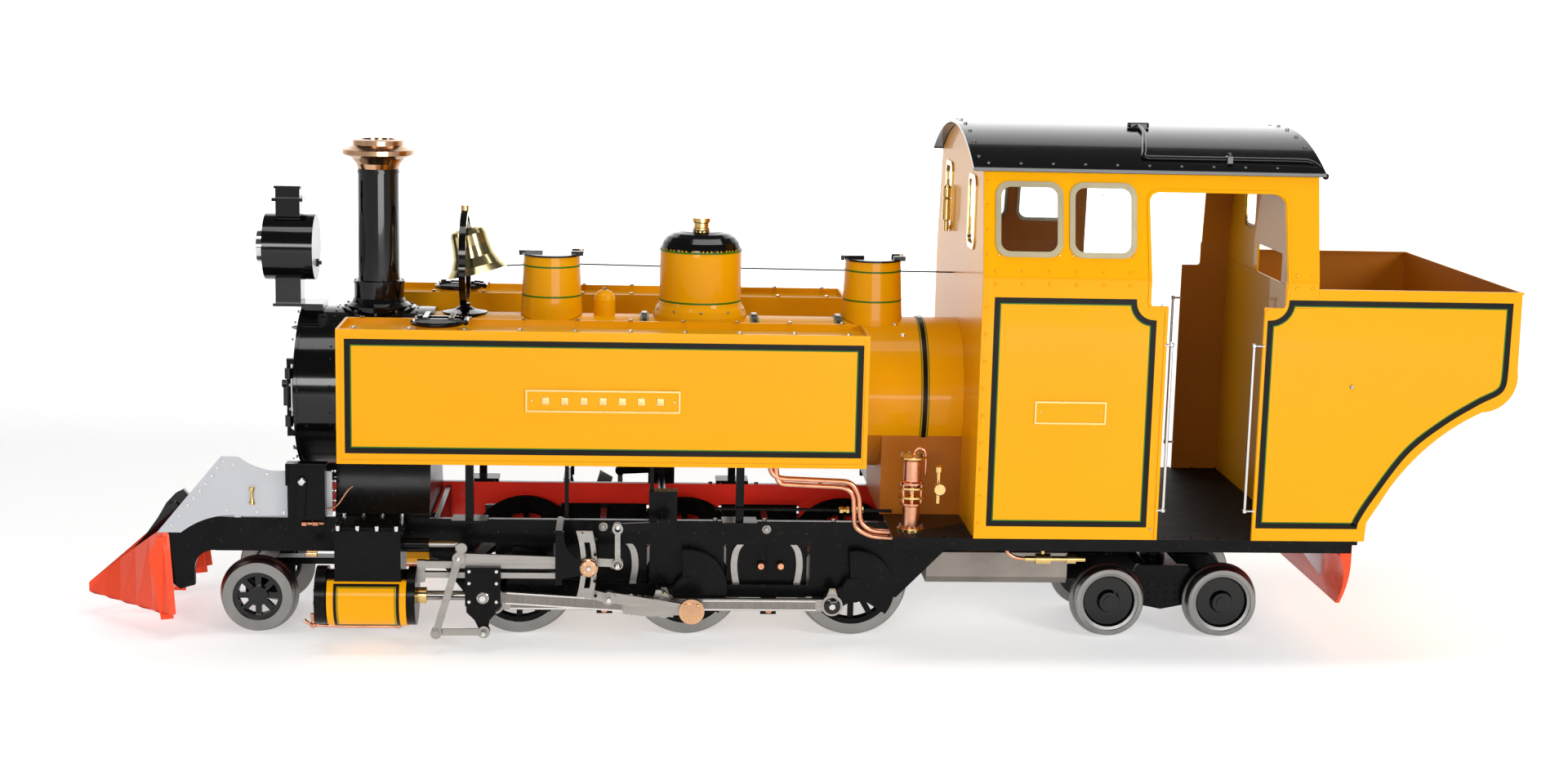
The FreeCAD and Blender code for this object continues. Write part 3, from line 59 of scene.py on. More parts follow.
# ---- places read from the frame ----
TANK_LO, TANK_HI = lo("side_tanks"), hi("side_tanks")
CAB_LO, CAB_HI = lo("cab_body"), hi("cab_body")
ROOF_LO, ROOF_HI = lo("cab_roof"), hi("cab_roof")
DECK_TOP = hi("footplate").z
SIDE_Y = TANK_HI.y
BOILER_R = (lo("boiler").y - hi("boiler").y) / -2
BOILER_Z = hi("boiler").z - BOILER_R
AXLES = [Vector(joint[f"driving_axle_{i}_spin"]["pos_m"]) for i in (1, 2, 3)]
PONY = Vector(joint["pony_wheels_spin"]["pos_m"])
BOGIE_AXLES = [Vector(joint[f"bogie_wheels_{i}_spin"]["pos_m"]) for i in (1, 2)]
CHIMNEY = Vector(((lo("chimney").x + hi("chimney").x) / 2, 0, 0))
TANK_FRONT, AXLE_HEIGHT = 423.4, 82  # from the drawing's datum forward, and up from the rail
DATUM = TANK_LO.x + TANK_FRONT * MM
FLANGE = AXLES[0].z - AXLE_HEIGHT * MM

# Drawing sizes, in millimetres unless they are multiplied by MM.
SIDES = ((-1, "left"), (1, "right"))
UP = (0, 0, 1)
SIDE = 257.7                 # half width over the side sheets
WAIST, LEAN = 571.6, 0.2307  # where the cab sides start to lean in, and their slope
AXLE_STEP = 252              # from one driving axle to the next
CYLINDER_Y = 184             # cylinder centre line from the middle
DOME_X, PUMP_X = 97, 408.5
THROW = 40 * MM              # crank radius
CRANK_ANGLE = {-1: 210, 1: 120}


def at(x, y, z):
    """Point from drawing millimetres (rail top datum) to the frame."""
    return Vector((DATUM + x * MM, y * MM, FLANGE + z * MM))


def x_at(x):
    return at(x, 0, 0).x


def z_at(z):
    return at(0, 0, z).z


# ---- materials ----
def add_node(tree, kind, feeds=None, **values):
    """New shader node: feeds links its inputs, values sets them (From_Min is "From Min")."""
    made = tree.nodes.new(kind)
    for key, value in values.items():
        made.inputs[key.replace("_", " ")].default_value = value
    for key, source in (feeds or {}).items():
        tree.links.new(source, made.inputs[key])
    return made


def two_stops(ramp, colours):
    for stop, colour in zip(ramp.color_ramp.elements, colours):
        stop.color = (*colour, 1)


def new_material(name, base, metallic=0.0, rough=0.4, coat=0.0, coat_rough=0.05, spec=0.4,
                 vary=0.08, vary_scale=14.0, grain=0.0, grain_scale=900.0, stretch=(1, 1, 1),
                 rough_vary=0.12, edge=0.5, wear=None):
    """Painted or metal surface: colour and roughness drift, fine grain bump and softened edges."""
    m = bpy.data.materials.new(name)
    m.use_nodes = True
    tree = m.node_tree
    surface = tree.nodes["Principled BSDF"].inputs
    surface["Metallic"].default_value = metallic
    surface["Coat Weight"].default_value = coat
    surface["Coat Roughness"].default_value = coat_rough
    surface["Specular IOR Level"].default_value = spec
    coords = add_node(tree, "ShaderNodeTexCoord")
    mapping = add_node(tree, "ShaderNodeMapping", {"Vector": coords.outputs["Object"]},
                       Scale=stretch)
    place = {"Vector": mapping.outputs[0]}
    cloud = add_node(tree, "ShaderNodeTexNoise", place, Scale=vary_scale, Detail=5)
    ramp = add_node(tree, "ShaderNodeValToRGB", {"Fac": cloud.outputs["Fac"]})
    ramp.color_ramp.elements[0].position = 0.3
    ramp.color_ramp.elements[1].position = 0.7
    two_stops(ramp, [[min(1, c * factor) for c in base] for factor in (1 - vary, 1 + vary)])
    colour = ramp.outputs["Color"]
    if wear:
        shade, amount = wear
        speck = add_node(tree, "ShaderNodeTexNoise", place, Scale=160, Detail=8)
        cut = add_node(tree, "ShaderNodeMapRange", {"Value": speck.outputs["Fac"]},
                       From_Min=0.62 - 0.15 * amount, From_Max=0.72)
        mix = tree.nodes.new("ShaderNodeMix")
        mix.data_type = "RGBA"
        mix.inputs[7].default_value = (*shade, 1)
        tree.links.new(cut.outputs["Result"], mix.inputs[0])
        tree.links.new(colour, mix.inputs[6])
        colour = mix.outputs[2]
    tree.links.new(colour, surface["Base Color"])
    scuff = add_node(tree, "ShaderNodeTexNoise", place, Scale=45, Detail=9)
    span = add_node(tree, "ShaderNodeMapRange", {"Value": scuff.outputs["Fac"]},
                    To_Min=max(0.02, rough - rough_vary / 2),
                    To_Max=min(1.0, rough + rough_vary / 2))
    tree.links.new(span.outputs["Result"], surface["Roughness"])
    normal = None
    if edge:
        bevel = add_node(tree, "ShaderNodeBevel", Radius=edge * MM)
        bevel.samples = 3
        normal = bevel.outputs["Normal"]
    if grain:
        fine = add_node(tree, "ShaderNodeTexNoise", place, Scale=grain_scale, Detail=4)
        feeds = {"Height": fine.outputs["Fac"]}
        if normal:
            feeds["Normal"] = normal
        normal = add_node(tree, "ShaderNodeBump", feeds, Strength=grain,
                          Distance=0.0006).outputs["Normal"]
    if normal:
        tree.links.new(normal, surface["Normal"])
    return m


ORANGE = new_material("orange_gloss", (0.82, 0.362, 0.001), rough=0.34, coat=0.2, coat_rough=0.03,
    spec=0.06, vary=0.03, vary_scale=3.0, grain=0.02, grain_scale=260, rough_vary=0.08)
# Darker copy of the orange as painted shade: it goes on the inner faces of the cab and bunker, the
# lower boiler between the tank and the cab, and the firebox sides.
ORANGE_SHADE = new_material("orange_painted_shade", (0.44, 0.14, 0.004), rough=0.45, coat=0.05, spec=0.15,
    vary=0.08, vary_scale=5.0, grain=0.03, grain_scale=260)
BLACK = new_material("black_gloss", (0.0028, 0.0028, 0.003), rough=0.12, coat=0.34,
    coat_rough=0.02, spec=0.25, vary=0.25, vary_scale=9.0, grain=0.02, grain_scale=300,
    rough_vary=0.08)
BLACK_SATIN = new_material("black_satin", (0.003, 0.003, 0.0032), rough=0.24, coat=0.03,
    coat_rough=0.1, spec=0.1, vary=0.35, vary_scale=22.0, grain=0.1, grain_scale=420,
    wear=((0.012, 0.011, 0.01), 0.03))
FLOOR_BLACK = new_material("floor_black", (0.010, 0.010, 0.010), rough=0.6, spec=0.12, vary=0.3,
    vary_scale=30.0, grain=0.15, grain_scale=600)
LINE_BLACK = new_material("lining_black", (0.007, 0.007, 0.006), rough=0.35, spec=0.12, vary=0.2,
    edge=0)
LINE_GREEN = new_material("lining_green", (0.035, 0.16, 0.006), rough=0.35, spec=0.25, vary=0.12,
    edge=0)
RED = new_material("vermilion_gloss", (0.94, 0.075, 0.02), rough=0.28, coat=0.14, coat_rough=0.03,
    spec=0.14, vary=0.05, vary_scale=9.0, grain=0.02, grain_scale=260)
RED_DARK = new_material("frame_red", (0.92, 0.028, 0.010), rough=0.35, coat=0.2, spec=0.3,
    vary=0.06, grain=0.03)
RIM_BRASS = new_material("window_rim_brass", (0.44, 0.38, 0.25), metallic=0.9, rough=0.4,
    vary=0.06, vary_scale=35, grain=0.05, grain_scale=600)
STEEL = new_material("bright_steel", (0.33, 0.315, 0.295), metallic=1.0, rough=0.31, vary=0.10,
    vary_scale=40, grain=0.10, grain_scale=700, stretch=(0.3, 1, 3), rough_vary=0.16)
STEEL_DARK = new_material("fluted_web", (0.20, 0.185, 0.17), metallic=1.0, rough=0.42, vary=0.12,
    vary_scale=40, grain=0.09, grain_scale=700, stretch=(6, 1, 1))
TYRE = new_material("turned_tyre", (0.25, 0.245, 0.235), metallic=1.0, rough=0.3, vary=0.12,
    vary_scale=25, grain=0.12, grain_scale=900, rough_vary=0.14)
SHEET_ALLOY = new_material("polished_sheet", (0.50, 0.51, 0.54), metallic=0.55, rough=0.45,
    spec=0.4, vary=0.03, vary_scale=12, grain=0.10, grain_scale=800, stretch=(0.15, 1, 1),
    rough_vary=0.1)
BRASS = new_material("polished_brass", (0.72, 0.50, 0.20), metallic=1.0, rough=0.2, vary=0.07,
    vary_scale=35, grain=0.04, grain_scale=600)
BELL_BRASS = new_material("bell_brass", (0.66, 0.55, 0.27), metallic=1.0, rough=0.17, vary=0.08,
    vary_scale=30, grain=0.03, grain_scale=600)
COPPER = new_material("copper", (0.70, 0.33, 0.20), metallic=1.0, rough=0.25, vary=0.14,
    vary_scale=28, grain=0.05, grain_scale=500, wear=((0.40, 0.16, 0.09), 0.12))
BRONZE = new_material("bronze_cap", (0.60, 0.36, 0.21), metallic=1.0, rough=0.17, vary=0.12,
    vary_scale=30, grain=0.03, grain_scale=500)
CHROME = new_material("bright_plate", (0.66, 0.65, 0.64), metallic=1.0, rough=0.14, vary=0.05,
    vary_scale=20, grain=0.02, rough_vary=0.08)
GREY = new_material("ashpan_grey", (0.23, 0.205, 0.18), metallic=0.85, rough=0.42, vary=0.18,
    vary_scale=18, grain=0.12, grain_scale=260)
WHITE = new_material("lamp_back_white", (0.66, 0.67, 0.71), rough=0.35, coat=0.2, vary=0.04,
    grain=0.02)


def glass_material():
    m = bpy.data.materials.new("window_glass")
    m.use_nodes = True
    tree = m.node_tree
    surface = tree.nodes["Principled BSDF"].inputs
    surface["Transmission Weight"].default_value = 1.0
    surface["IOR"].default_value = 1.12
    surface["Coat Weight"].default_value = 0.5
    coords = add_node(tree, "ShaderNodeTexCoord")
    noise = add_node(tree, "ShaderNodeTexNoise", {"Vector": coords.outputs["Object"]}, Scale=20)
    tint = add_node(tree, "ShaderNodeValToRGB", {"Fac": noise.outputs["Fac"]})
    two_stops(tint, ((0.93, 0.96, 0.97), (0.98, 0.99, 0.99)))
    tree.links.new(tint.outputs["Color"], surface["Base Color"])
    span = add_node(tree, "ShaderNodeMapRange", {"Value": noise.outputs["Fac"]}, To_Min=0.02,
                    To_Max=0.06)
    tree.links.new(span.outputs["Result"], surface["Roughness"])
    return m


GLASS = glass_material()


def paint(name, *materials, pick=None):
    """Give a CAD node its materials; pick(centre, normal) numbers the one that a face takes."""
    mesh = node[name].data
    mesh.materials.clear()
    for m in materials:
        mesh.materials.append(m)
    for p in mesh.polygons:
        p.material_index = int(pick(p.center, p.normal)) if pick else 0


def from_axis(centre, c):
    return sqrt((c.x - centre.x) ** 2 + (c.z - centre.z) ** 2)


def paint_plain():
    """Nodes of one colour all over."""
    for coat, names in ((ORANGE, "side_tanks cylinder_lagging"), (RED, "cowcatcher"),
                        (SHEET_ALLOY, "wing_plate"), (BRASS, "brake_handle"), (BELL_BRASS, "bell"),
                        (BLACK, "chimney cab_roof sandbox_lid_1 sandbox_lid_2"),
                        (BLACK, "tank_lid_left tank_lid_right"), (GLASS, "glass_panes"),
                        (BLACK_SATIN, "frame_stretchers pony_frame bogie_frame reversing_shaft"),
                        (BLACK_SATIN, "fire_door"),
                        (STEEL, "radius_rods lifting_links guide_bars reverser_lever")):
        for name in names.split():
            paint(name, coat)
    for part in ("coupling_rod connecting_rod expansion_link combination_lever union_link "
                 "valve_spindle return_crank").split():
        for tag in ("left", "right"):
            paint(f"{part}_{tag}", STEEL)


def paint_wheels():
    def tyre(axle, radius):
        return lambda c, n: from_axis(axle, c) > radius * MM

    def driver(axle):
        """Tyre, and the outer face of the fly crank away from its boss."""
        def face(c, n):
            r, y = from_axis(axle, c), abs(c.y)
            tread = y < 112 * MM and r > 64.9 * MM and n.y * c.y > -0.3 * y
            return tread or y > 172.5 * MM and r > 20 * MM
        return face
    for i, axle in enumerate(AXLES, 1):
        paint(f"driving_wheels_{i}", BLACK_SATIN, TYRE, pick=driver(axle))
    paint("pony_wheels", BLACK, TYRE, pick=tyre(PONY, 36.9))
    for i, axle in enumerate(BOGIE_AXLES, 1):
        paint(f"bogie_wheels_{i}", BLACK, TYRE, pick=tyre(axle, 39.9))


def paint_body():
    """Sheets and castings whose faces differ: outside and inside, top and flare, plate and bolt.
    The darker orange on the lower boiler, the firebox sides and the inner faces of cab and bunker
    is painted shade.
    """
    boiler_low, beside_firebox = BOILER_Z - 52 * MM, x_at(300)
    # Painted shade: the lower boiler between the tank and the cab takes the darker orange.
    paint("boiler", ORANGE, ORANGE_SHADE,
          pick=lambda c, n: c.z < boiler_low and c.x > beside_firebox)
    cab_front, cab_back = CAB_LO.x + 2.8 * MM, CAB_HI.x - 2.8 * MM
    # Painted shade: the inward faces of the cab sides take the darker orange.
    paint("cab_body", ORANGE, ORANGE_SHADE,
          pick=lambda c, n: cab_front < c.x < cab_back and n.y * c.y < 0)
    sheet = SIDE_Y - 2.7 * MM
    # Painted shade: the inward faces of the bunker take the darker orange.
    paint("bunker", ORANGE, ORANGE_SHADE, pick=lambda c, n: abs(c.y) < sheet and (
        n.y * c.y < 0 or n.x < -0.3 and c.x > CAB_HI.x))
    paint("frame_plates", BLACK_SATIN, RED_DARK, pick=lambda c, n: n.y * c.y < -0.5 * abs(c.y))
    saddle_top, nut_z, dome_x, dome_line = z_at(300), z_at(629.5), x_at(DOME_X), z_at(577.5)
    paint("smokebox", BLACK, BLACK_SATIN, pick=lambda c, n: c.z < saddle_top)
    pin_x, pin_y = lo("smokebox_door").x + 14 * MM, -104 * MM
    paint("smokebox_door", BLACK, CHROME,
          pick=lambda c, n: abs(c.y - pin_y) < 7 * MM and c.x < pin_x and abs(n.z) < 0.5)
    paint("bell_stand", BLACK, BRASS, pick=lambda c, n: c.z > nut_z)
    paint("boiler_domes", ORANGE, BLACK,
          pick=lambda c, n: abs(c.x - dome_x) < 70 * MM and c.z > dome_line)
    bezel_x, rear_x = lo("headlamp").x + 11.5 * MM, x_at(-484.3)
    paint("headlamp", BLACK, CHROME, WHITE, pick=lambda c, n: 1 if c.x < bezel_x else
          2 if abs(c.x - rear_x) < 0.6 * MM and n.x > 0.9 else 0)
    ashpan_top = DECK_TOP - 40 * MM
    # Painted shade: the firebox sides above the ashpan take the darker orange; its other faces
    # there are black satin, and the ashpan is grey.
    paint("firebox", GREY, BLACK_SATIN, ORANGE_SHADE,
          pick=lambda c, n: 0 if c.z < ashpan_top else 2 if abs(n.y) > 0.5 else 1)
    beam_x, beam_y, lip_y = x_at(1043), 144 * MM, 138 * MM

    def plate_face(c, n):
        """Bright lip under the plate, red rear beam, dark cab floor."""
        lip = lip_y < abs(c.y) < beam_y
        if c.z < DECK_TOP - 8 * MM and (lip or c.x > beam_x):
            return 1 if lip else 2
        return 3 if n.z > 0.9 and c.z > DECK_TOP - MM and CAB_LO.x < c.x < hi("bunker").x else 0
    paint("footplate", BLACK_SATIN, SHEET_ALLOY, RED, FLOOR_BLACK, pick=plate_face)


def paint_fittings():
    for tag in ("left", "right"):
        paint(f"eccentric_rod_{tag}", STEEL, BRONZE, pick=lambda c, n: abs(c.y) > 205.01 * MM)
        paint(f"crosshead_{tag}", BLACK_SATIN, STEEL,
              pick=lambda c, n: abs(c.y) > 197.01 * MM or 177.5 * MM < abs(c.y) < 190.9 * MM)
    paint("regulator_handle", STEEL, RED, pick=lambda c, n: c.y > 74 * MM)
    nut_low = z_at(183.2)
    paint("cylinders", BLACK_SATIN, CHROME,
          pick=lambda c, n: c.z > nut_low and not 141.6 * MM < abs(c.y) < 214.4 * MM)
    cap_z, pump_x, lubricator_x, window_z = z_at(680), x_at(PUMP_X), x_at(-470), z_at(596)

    def brass_face(c, n):
        """Bronze chimney cap, copper pump and unions, duller window rims; the rest is brass."""
        y, past_cab = abs(c.y), c.x - CAB_LO.x
        if abs(c.x - CHIMNEY.x) < 60 * MM and c.z > cap_z:
            return 1
        if abs(c.x - pump_x) < 25 * MM and c.y < -150 * MM or c.x < lubricator_x:
            return 2
        if c.z > window_z and (y > 200 * MM and past_cab > -2 * MM
                               or y < 175 * MM and n.x < -0.2 and past_cab > -1.5 * MM):
            return 3
        return 0
    paint("brass_fittings", BRASS, BRONZE, COPPER, RIM_BRASS, pick=brass_face)


# ---- mesh helpers ----
def placed(obj, body, material):
    """Material and body of a new piece; the material goes into its one slot."""
    obj.data.materials.clear()
    obj.data.materials.append(material)
    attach(obj, body)


def rounded(mesh):
    for p in mesh.polygons:
        p.use_smooth = True


def piece(name, verts, faces, material, body="chassis", smooth=False):
    mesh = bpy.data.meshes.new(name)
    mesh.from_pydata([tuple(v) for v in verts], [], faces)
    mesh.update()
    obj = bpy.data.objects.new(name, mesh)
    bpy.context.scene.collection.objects.link(obj)
    if smooth:
        rounded(mesh)
        mesh.set_sharp_from_angle(angle=radians(35))
    placed(obj, body, material)


class Batch:
    """Many small like solids gathered into one piece."""

    def __init__(self):
        self.verts = []
        self.faces = []

    def add(self, verts, faces):
        base = len(self.verts)
        self.verts.extend(verts)
        self.faces.extend([tuple(base + i for i in f) for f in faces])

    def build(self, name, material, body="chassis", smooth=False, slot=None):
        return piece(name, self.verts, self.faces, material, body, smooth)


def basis(axis):
    axis = Vector(axis).normalized()
    side = axis.orthogonal().normalized()
    return axis, side, axis.cross(side)


def spun(batch, origin, axis, profile, sides=24, start=0.0):
    """Solid of revolution: profile is (radius, height) in millimetres, first ring to last."""
    axis, u, v = basis(axis)
    origin = Vector(origin)
    verts, faces, rings = [], [], []
    for r, h in profile:
        foot = origin + axis * (h * MM)
        if r == 0:
            rings.append([len(verts)])
            verts.append(foot)
            continue
        rings.append([len(verts) + k for k in range(sides)])
        for k in range(sides):
            a = start + 2 * pi * k / sides
            verts.append(foot + (u * cos(a) + v * sin(a)) * (r * MM))
    for a, b in zip(rings, rings[1:]):
        for k in range(sides):
            j = (k + 1) % sides
            if len(a) == 1:
                faces.append((a[0], b[j], b[k]))
            elif len(b) == 1:
                faces.append((a[k], a[j], b[0]))
            else:
                faces.append((a[k], a[j], b[j], b[k]))
    if len(rings[0]) > 1:
        faces.append(tuple(reversed(rings[0])))
    if len(rings[-1]) > 1:
        faces.append(tuple(rings[-1]))
    batch.add(verts, faces)


def hex_bolt(batch, origin, axis, r, turn=0.0):
    spun(batch, origin, axis, [(r, -0.3), (r, r * 0.75), (r * 0.85, r * 0.95), (0, r * 0.97)],
         6, turn)


def rivet(batch, origin, axis, r):
    spun(batch, origin, axis,
         [(r, -0.3), (r * 0.95, r * 0.25), (r * 0.7, r * 0.55), (0, r * 0.72)], 10)


def turns(count, start=0.0):
    """Cosine and sine of each of count even steps round a circle."""
    angles = [start + 2 * pi * k / count for k in range(count)]
    return [(cos(a), sin(a)) for a in angles]


def loft(batch, sections, ring=False):
    """Bar through four-point sections; in a ring the last section meets the first."""
    n = len(sections)
    faces = []
    for k in range(n if ring else n - 1):
        a, b = 4 * k, 4 * ((k + 1) % n)
        faces += [(a + c, a + (c + 1) % 4, b + (c + 1) % 4, b + c) for c in range(4)]
    if not ring:
        faces += [(3, 2, 1, 0), tuple(range(4 * n - 4, 4 * n))]
    batch.add([p for section in sections for p in section], faces)


def plate(batch, near, far):
    """Flat plate between two matching outlines."""
    n = len(near)
    faces = [tuple(range(n)), tuple(range(2 * n - 1, n - 1, -1))]
    faces += [(k, n + k, n + (k + 1) % n, (k + 1) % n) for k in range(n)]
    batch.add(near + far, faces)


def slab(batch, a, b):
    """Rectangular block with softened long edges between two corners."""
    x0, y0, z0 = (min(p, q) for p, q in zip(a, b))
    x1, y1, z1 = (max(p, q) for p, q in zip(a, b))
    c = 0.12 * min(x1 - x0, y1 - y0, z1 - z0)
    my, mz = (y0 + y1) / 2, (z0 + z1) / 2
    outline = ((y0 + c, z0), (y1 - c, z0), (y1, z0 + c), (y1, z1 - c), (y1 - c, z1), (y0 + c, z1),
               (y0, z1 - c), (y0, z0 + c))
    verts, faces = [], []
    for x, inset in ((x0, c), (x0 + c, 0), (x1 - c, 0), (x1, c)):
        fy, fz = 1 - 2 * inset / (y1 - y0), 1 - 2 * inset / (z1 - z0)
        verts += [Vector((x, my + (y - my) * fy, mz + (z - mz) * fz)) for y, z in outline]
    for s in (0, 8, 16):
        for k in range(8):
            j = (k + 1) % 8
            faces.append((s + k, s + j, s + 8 + j, s + 8 + k))
    faces += [tuple(reversed(range(8))), tuple(range(24, 32))]
    batch.add(verts, faces)


def tube(name, points, radius, material, smooth_path=True):
    """Round bar or pipe along given points, as a closed mesh with capped ends."""
    curve = bpy.data.curves.new(name + "_path", "CURVE")
    curve.dimensions = "3D"
    spline = curve.splines.new("NURBS" if smooth_path else "POLY")
    spline.points.add(len(points) - 1)
    for p, q in zip(spline.points, points):
        p.co = (*q, 1)
    if smooth_path:
        spline.order_u = 3
        spline.use_endpoint_u = True
    curve.resolution_u = 8
    curve.bevel_depth = radius * MM
    curve.bevel_resolution = 4
    curve.use_fill_caps = True
    source = bpy.data.objects.new(name + "_source", curve)
    bpy.context.scene.collection.objects.link(source)
    bpy.context.view_layer.update()
    mesh = bpy.data.meshes.new_from_object(source)
    bpy.data.objects.remove(source)
    obj = bpy.data.objects.new(name, mesh)
    bpy.context.scene.collection.objects.link(obj)
    rounded(mesh)
    placed(obj, "chassis", material)


def mitre(path, k, closed):
    """Sideways direction of a 2-D path at one corner, with the stretch that keeps its width."""
    n = len(path)
    here, back, ahead = (Vector(path[j % n]) for j in (k, k - 1, k + 1))
    if not closed and k == 0:
        back = here - (ahead - here)
    if not closed and k == n - 1:
        ahead = here + (here - back)
    d0, d1 = (here - back).normalized(), (ahead - here).normalized()
    n0, n1 = Vector((-d0.y, d0.x)), Vector((-d1.y, d1.x))
    mid = n0 + n1
    mid = mid.normalized() if mid.length > 1e-9 else n0  # n0 where the path turns straight back
    return here, mid / max(0.35, mid.dot(n0))


def ribbon(batch, path, width, place, closed=True, thick=0.25):
    """Flat strip along a 2-D path; place(u, v, lift) gives the point in space.

    The path is in metres, width and thick are in millimetres.
    """
    n = len(path)
    corners = [mitre(path, k, closed) for k in range(n)]
    half = width * MM / 2
    verts = []
    for lift in (0.0, thick * MM):
        for sign in (-1, 1):
            row = [here + across * half * sign for here, across in corners]
            verts.extend(place(p.x, p.y, lift) for p in row)
    faces = []
    for k in range(n if closed else n - 1):
        j = (k + 1) % n
        a, b, c, d = k, n + k, 2 * n + k, 3 * n + k
        a2, b2, c2, d2 = j, n + j, 2 * n + j, 3 * n + j
        faces += [(c, c2, d2, d), (a, b, b2, a2), (a, a2, c2, c), (b, d, d2, b2)]
    if not closed:
        faces += [(0, 2 * n, 3 * n, n), (n - 1, 2 * n - 1, 4 * n - 1, 3 * n - 1)]
    batch.add(verts, faces)


def inset_path(path, distance):
    """Move a closed path towards its left-hand side by a distance."""
    corners = [mitre(path, k, True) for k in range(len(path))]
    return [tuple(here + across * distance) for here, across in corners]


def on_side(side, out=0.0):
    """Placer for outlines drawn in (x, z) on the flat side sheets."""
    def place(u, v, lift):
        return Vector((u, side * (SIDE_Y + out + lift), v))
    return place


# ---- painted lining ----
def lining(name, path, place=on_side, broad=8.2, fine=1.7, inset=4.85):
    """Broad black border with a thin green line along its inner edge, on both sides.

    place(side) makes the placer; the widths and the inset of the green line are in millimetres.
    """
    inner = inset_path(path, inset * MM)
    for side, tag in SIDES:
        for shade, line, width, colour in (("black", path, broad, LINE_BLACK),
                                           ("green", inner, fine, LINE_GREEN)):
            strip = Batch()
            ribbon(strip, line, width, place(side))
            strip.build(f"{name}_{shade}_{tag}", colour)


def box_path(x0, x1, z0, z1):
    return [(x0, z0), (x1, z0), (x1, z1), (x0, z1)]


def xz(points):
    """Outline drawn in drawing millimetres to frame (x, z)."""
    return [(at(x, 0, z).x, at(x, 0, z).z) for x, z in points]


def smooth_line(points, steps=6):
    """Rounded run through given points (Catmull-Rom)."""
    pts = [Vector(p) for p in points]
    out = []
    for k in range(len(pts) - 1):
        p0, p1, p2, p3 = pts[max(0, k - 1)], pts[k], pts[k + 1], pts[min(len(pts) - 1, k + 2)]
        for s in range(steps):
            t = s / steps
            q = 0.5 * (2 * p1 + (p2 - p0) * t + (2 * p0 - 5 * p1 + 4 * p2 - p3) * t * t
                       + (3 * p1 - p0 - 3 * p2 + p3) * t ** 3)
            out.append(tuple(q))
    return out + [tuple(pts[-1])]


def tank_lining():
    x0, x1 = TANK_LO.x + 16 * MM, TANK_HI.x - 12.5 * MM
    z0, z1 = TANK_LO.z + 19.5 * MM, TANK_HI.z - 18 * MM
    lining("tank_lining", box_path(x0, x1, z0, z1))


def cab_lining():
    """Panel lining with a concave top rear corner."""
    x0, x1, z0, z1 = 515.5, 743.5, 211.5, 539.5
    path = [(x0, z0), (x1, z0)]
    path += [(x1 - 30 * sin(radians(a)), z1 - 30 * cos(radians(a))) for a in range(0, 91, 10)]
    path += [(x0, z1)]
    lining("cab_lining", xz(path))


def bunker_lining():
    """Lining that follows the bunker outline, concave at the door corner."""
    x0, z0, z1 = 914.0, 211.5, 541.5
    path = [(x0, z0), (1058, z0)]
    path += smooth_line([(1058, z0), (1061, 222), (1080, 255), (1128, 324), (1180, 368),
                         (1229, 399), (1262, 418), (1267, 446)])[1:]
    path += [(1267, z1)]
    path += [(x0 + 30 * cos(radians(a)), z1 - 30 * sin(radians(a))) for a in range(0, 91, 10)]
    lining("bunker_lining", xz(path))


def lagging_lining():
    """Rounded panel outlines on the cylinder clothing."""
    a, b = lo("cylinder_lagging"), hi("cylinder_lagging")
    x0, x1, low = a.x + 12 * MM, b.x - 12 * MM, -50 * MM
    radius = b.y - CYLINDER_Y * MM
    high = radius * asin((b.z - a.z) / radius - 1) - 7 * MM
    path = [(x1, low), (x1, high), (x0, high), (x0, low)]
    dense = []
    for k, p in enumerate(path):
        p, q = Vector(p), Vector(path[(k + 1) % len(path)])
        steps = max(1, int((q - p).length / (3 * MM)))
        dense += [tuple(p.lerp(q, s / steps)) for s in range(steps)]
    lining("lagging", dense, drum_place, 4.6, 1.2, 3.9)


def drum_place(side):
    """Placer that wraps (x, arc length) round the cylinder clothing."""
    yc = CYLINDER_Y * MM
    radius = hi("cylinder_lagging").y - yc
    zc = lo("cylinder_lagging").z + radius

    def place(u, v, lift):
        ang, r = v / radius, radius + lift
        return Vector((u, side * (yc + r * cos(ang)), zc + r * sin(ang)))
    return place


# ---- beading and edge strips ----
def beading():
    """Raised edge strip round each tank side."""
    wide = 6
    e = wide / 2 * MM
    x0, x1, z0, z1 = TANK_LO.x + e, TANK_HI.x - e, TANK_LO.z + e, TANK_HI.z - e
    for side, tag in SIDES:
        b = Batch()
        ribbon(b, box_path(x0, x1, z0, z1), wide, on_side(side, -0.1 * MM), thick=1.0)
        b.build(f"tank_beading_{tag}", ORANGE)


def rivets_and_screws():
    """Rivets of the cab sides and the screws of the side sheets."""
    rows = [(512 + k * 39, z) for k in range(6) for z in (562.5, 580.5)]
    rows += [(x, z) for x in (950, 973) for z in (562.5, 580.5)]
    rows += [(500.5, 212 + k * 39.5) for k in range(9)] + [(500.5, 604 + k * 34) for k in range(4)]
    for side, tag in SIDES:
        axis = (0, side, 0)
        b, s = Batch(), Batch()
        for x, z in rows:
            rivet(b, at(x, side * (SIDE - max(0.0, z - WAIST) * LEAN), z), axis, 2.9)
        b.build(f"cab_rivets_{tag}", ORANGE)
        for x, z, r in ((1040, 419.5, 3.2), (754, 205, 1.8), (754, 536, 1.8)):
            hex_bolt(s, at(x, side * SIDE, z), axis, r)
        s.build(f"side_screws_{tag}", STEEL)


# ---- plates ----
def side_plate(side, box, rim_width, rim_thick, screw_inset, screw_radius):
    """Rim, field and end screws of a blank plate: box is x0, x1, z0, z1."""
    x0, x1, z0, z1 = box
    rim, field, screws = Batch(), Batch(), Batch()
    ribbon(rim, xz(box_path(*box)), rim_width, on_side(side), thick=rim_thick)
    slab(field, at(x0, side * (SIDE - 0.2), z0), at(x1, side * (SIDE + 1.2), z1))
    for x in (x0 + screw_inset, x1 - screw_inset):
        rivet(screws, at(x, side * (SIDE + 1.1), (z0 + z1) / 2), (0, side, 0), screw_radius)
    return rim, field, screws


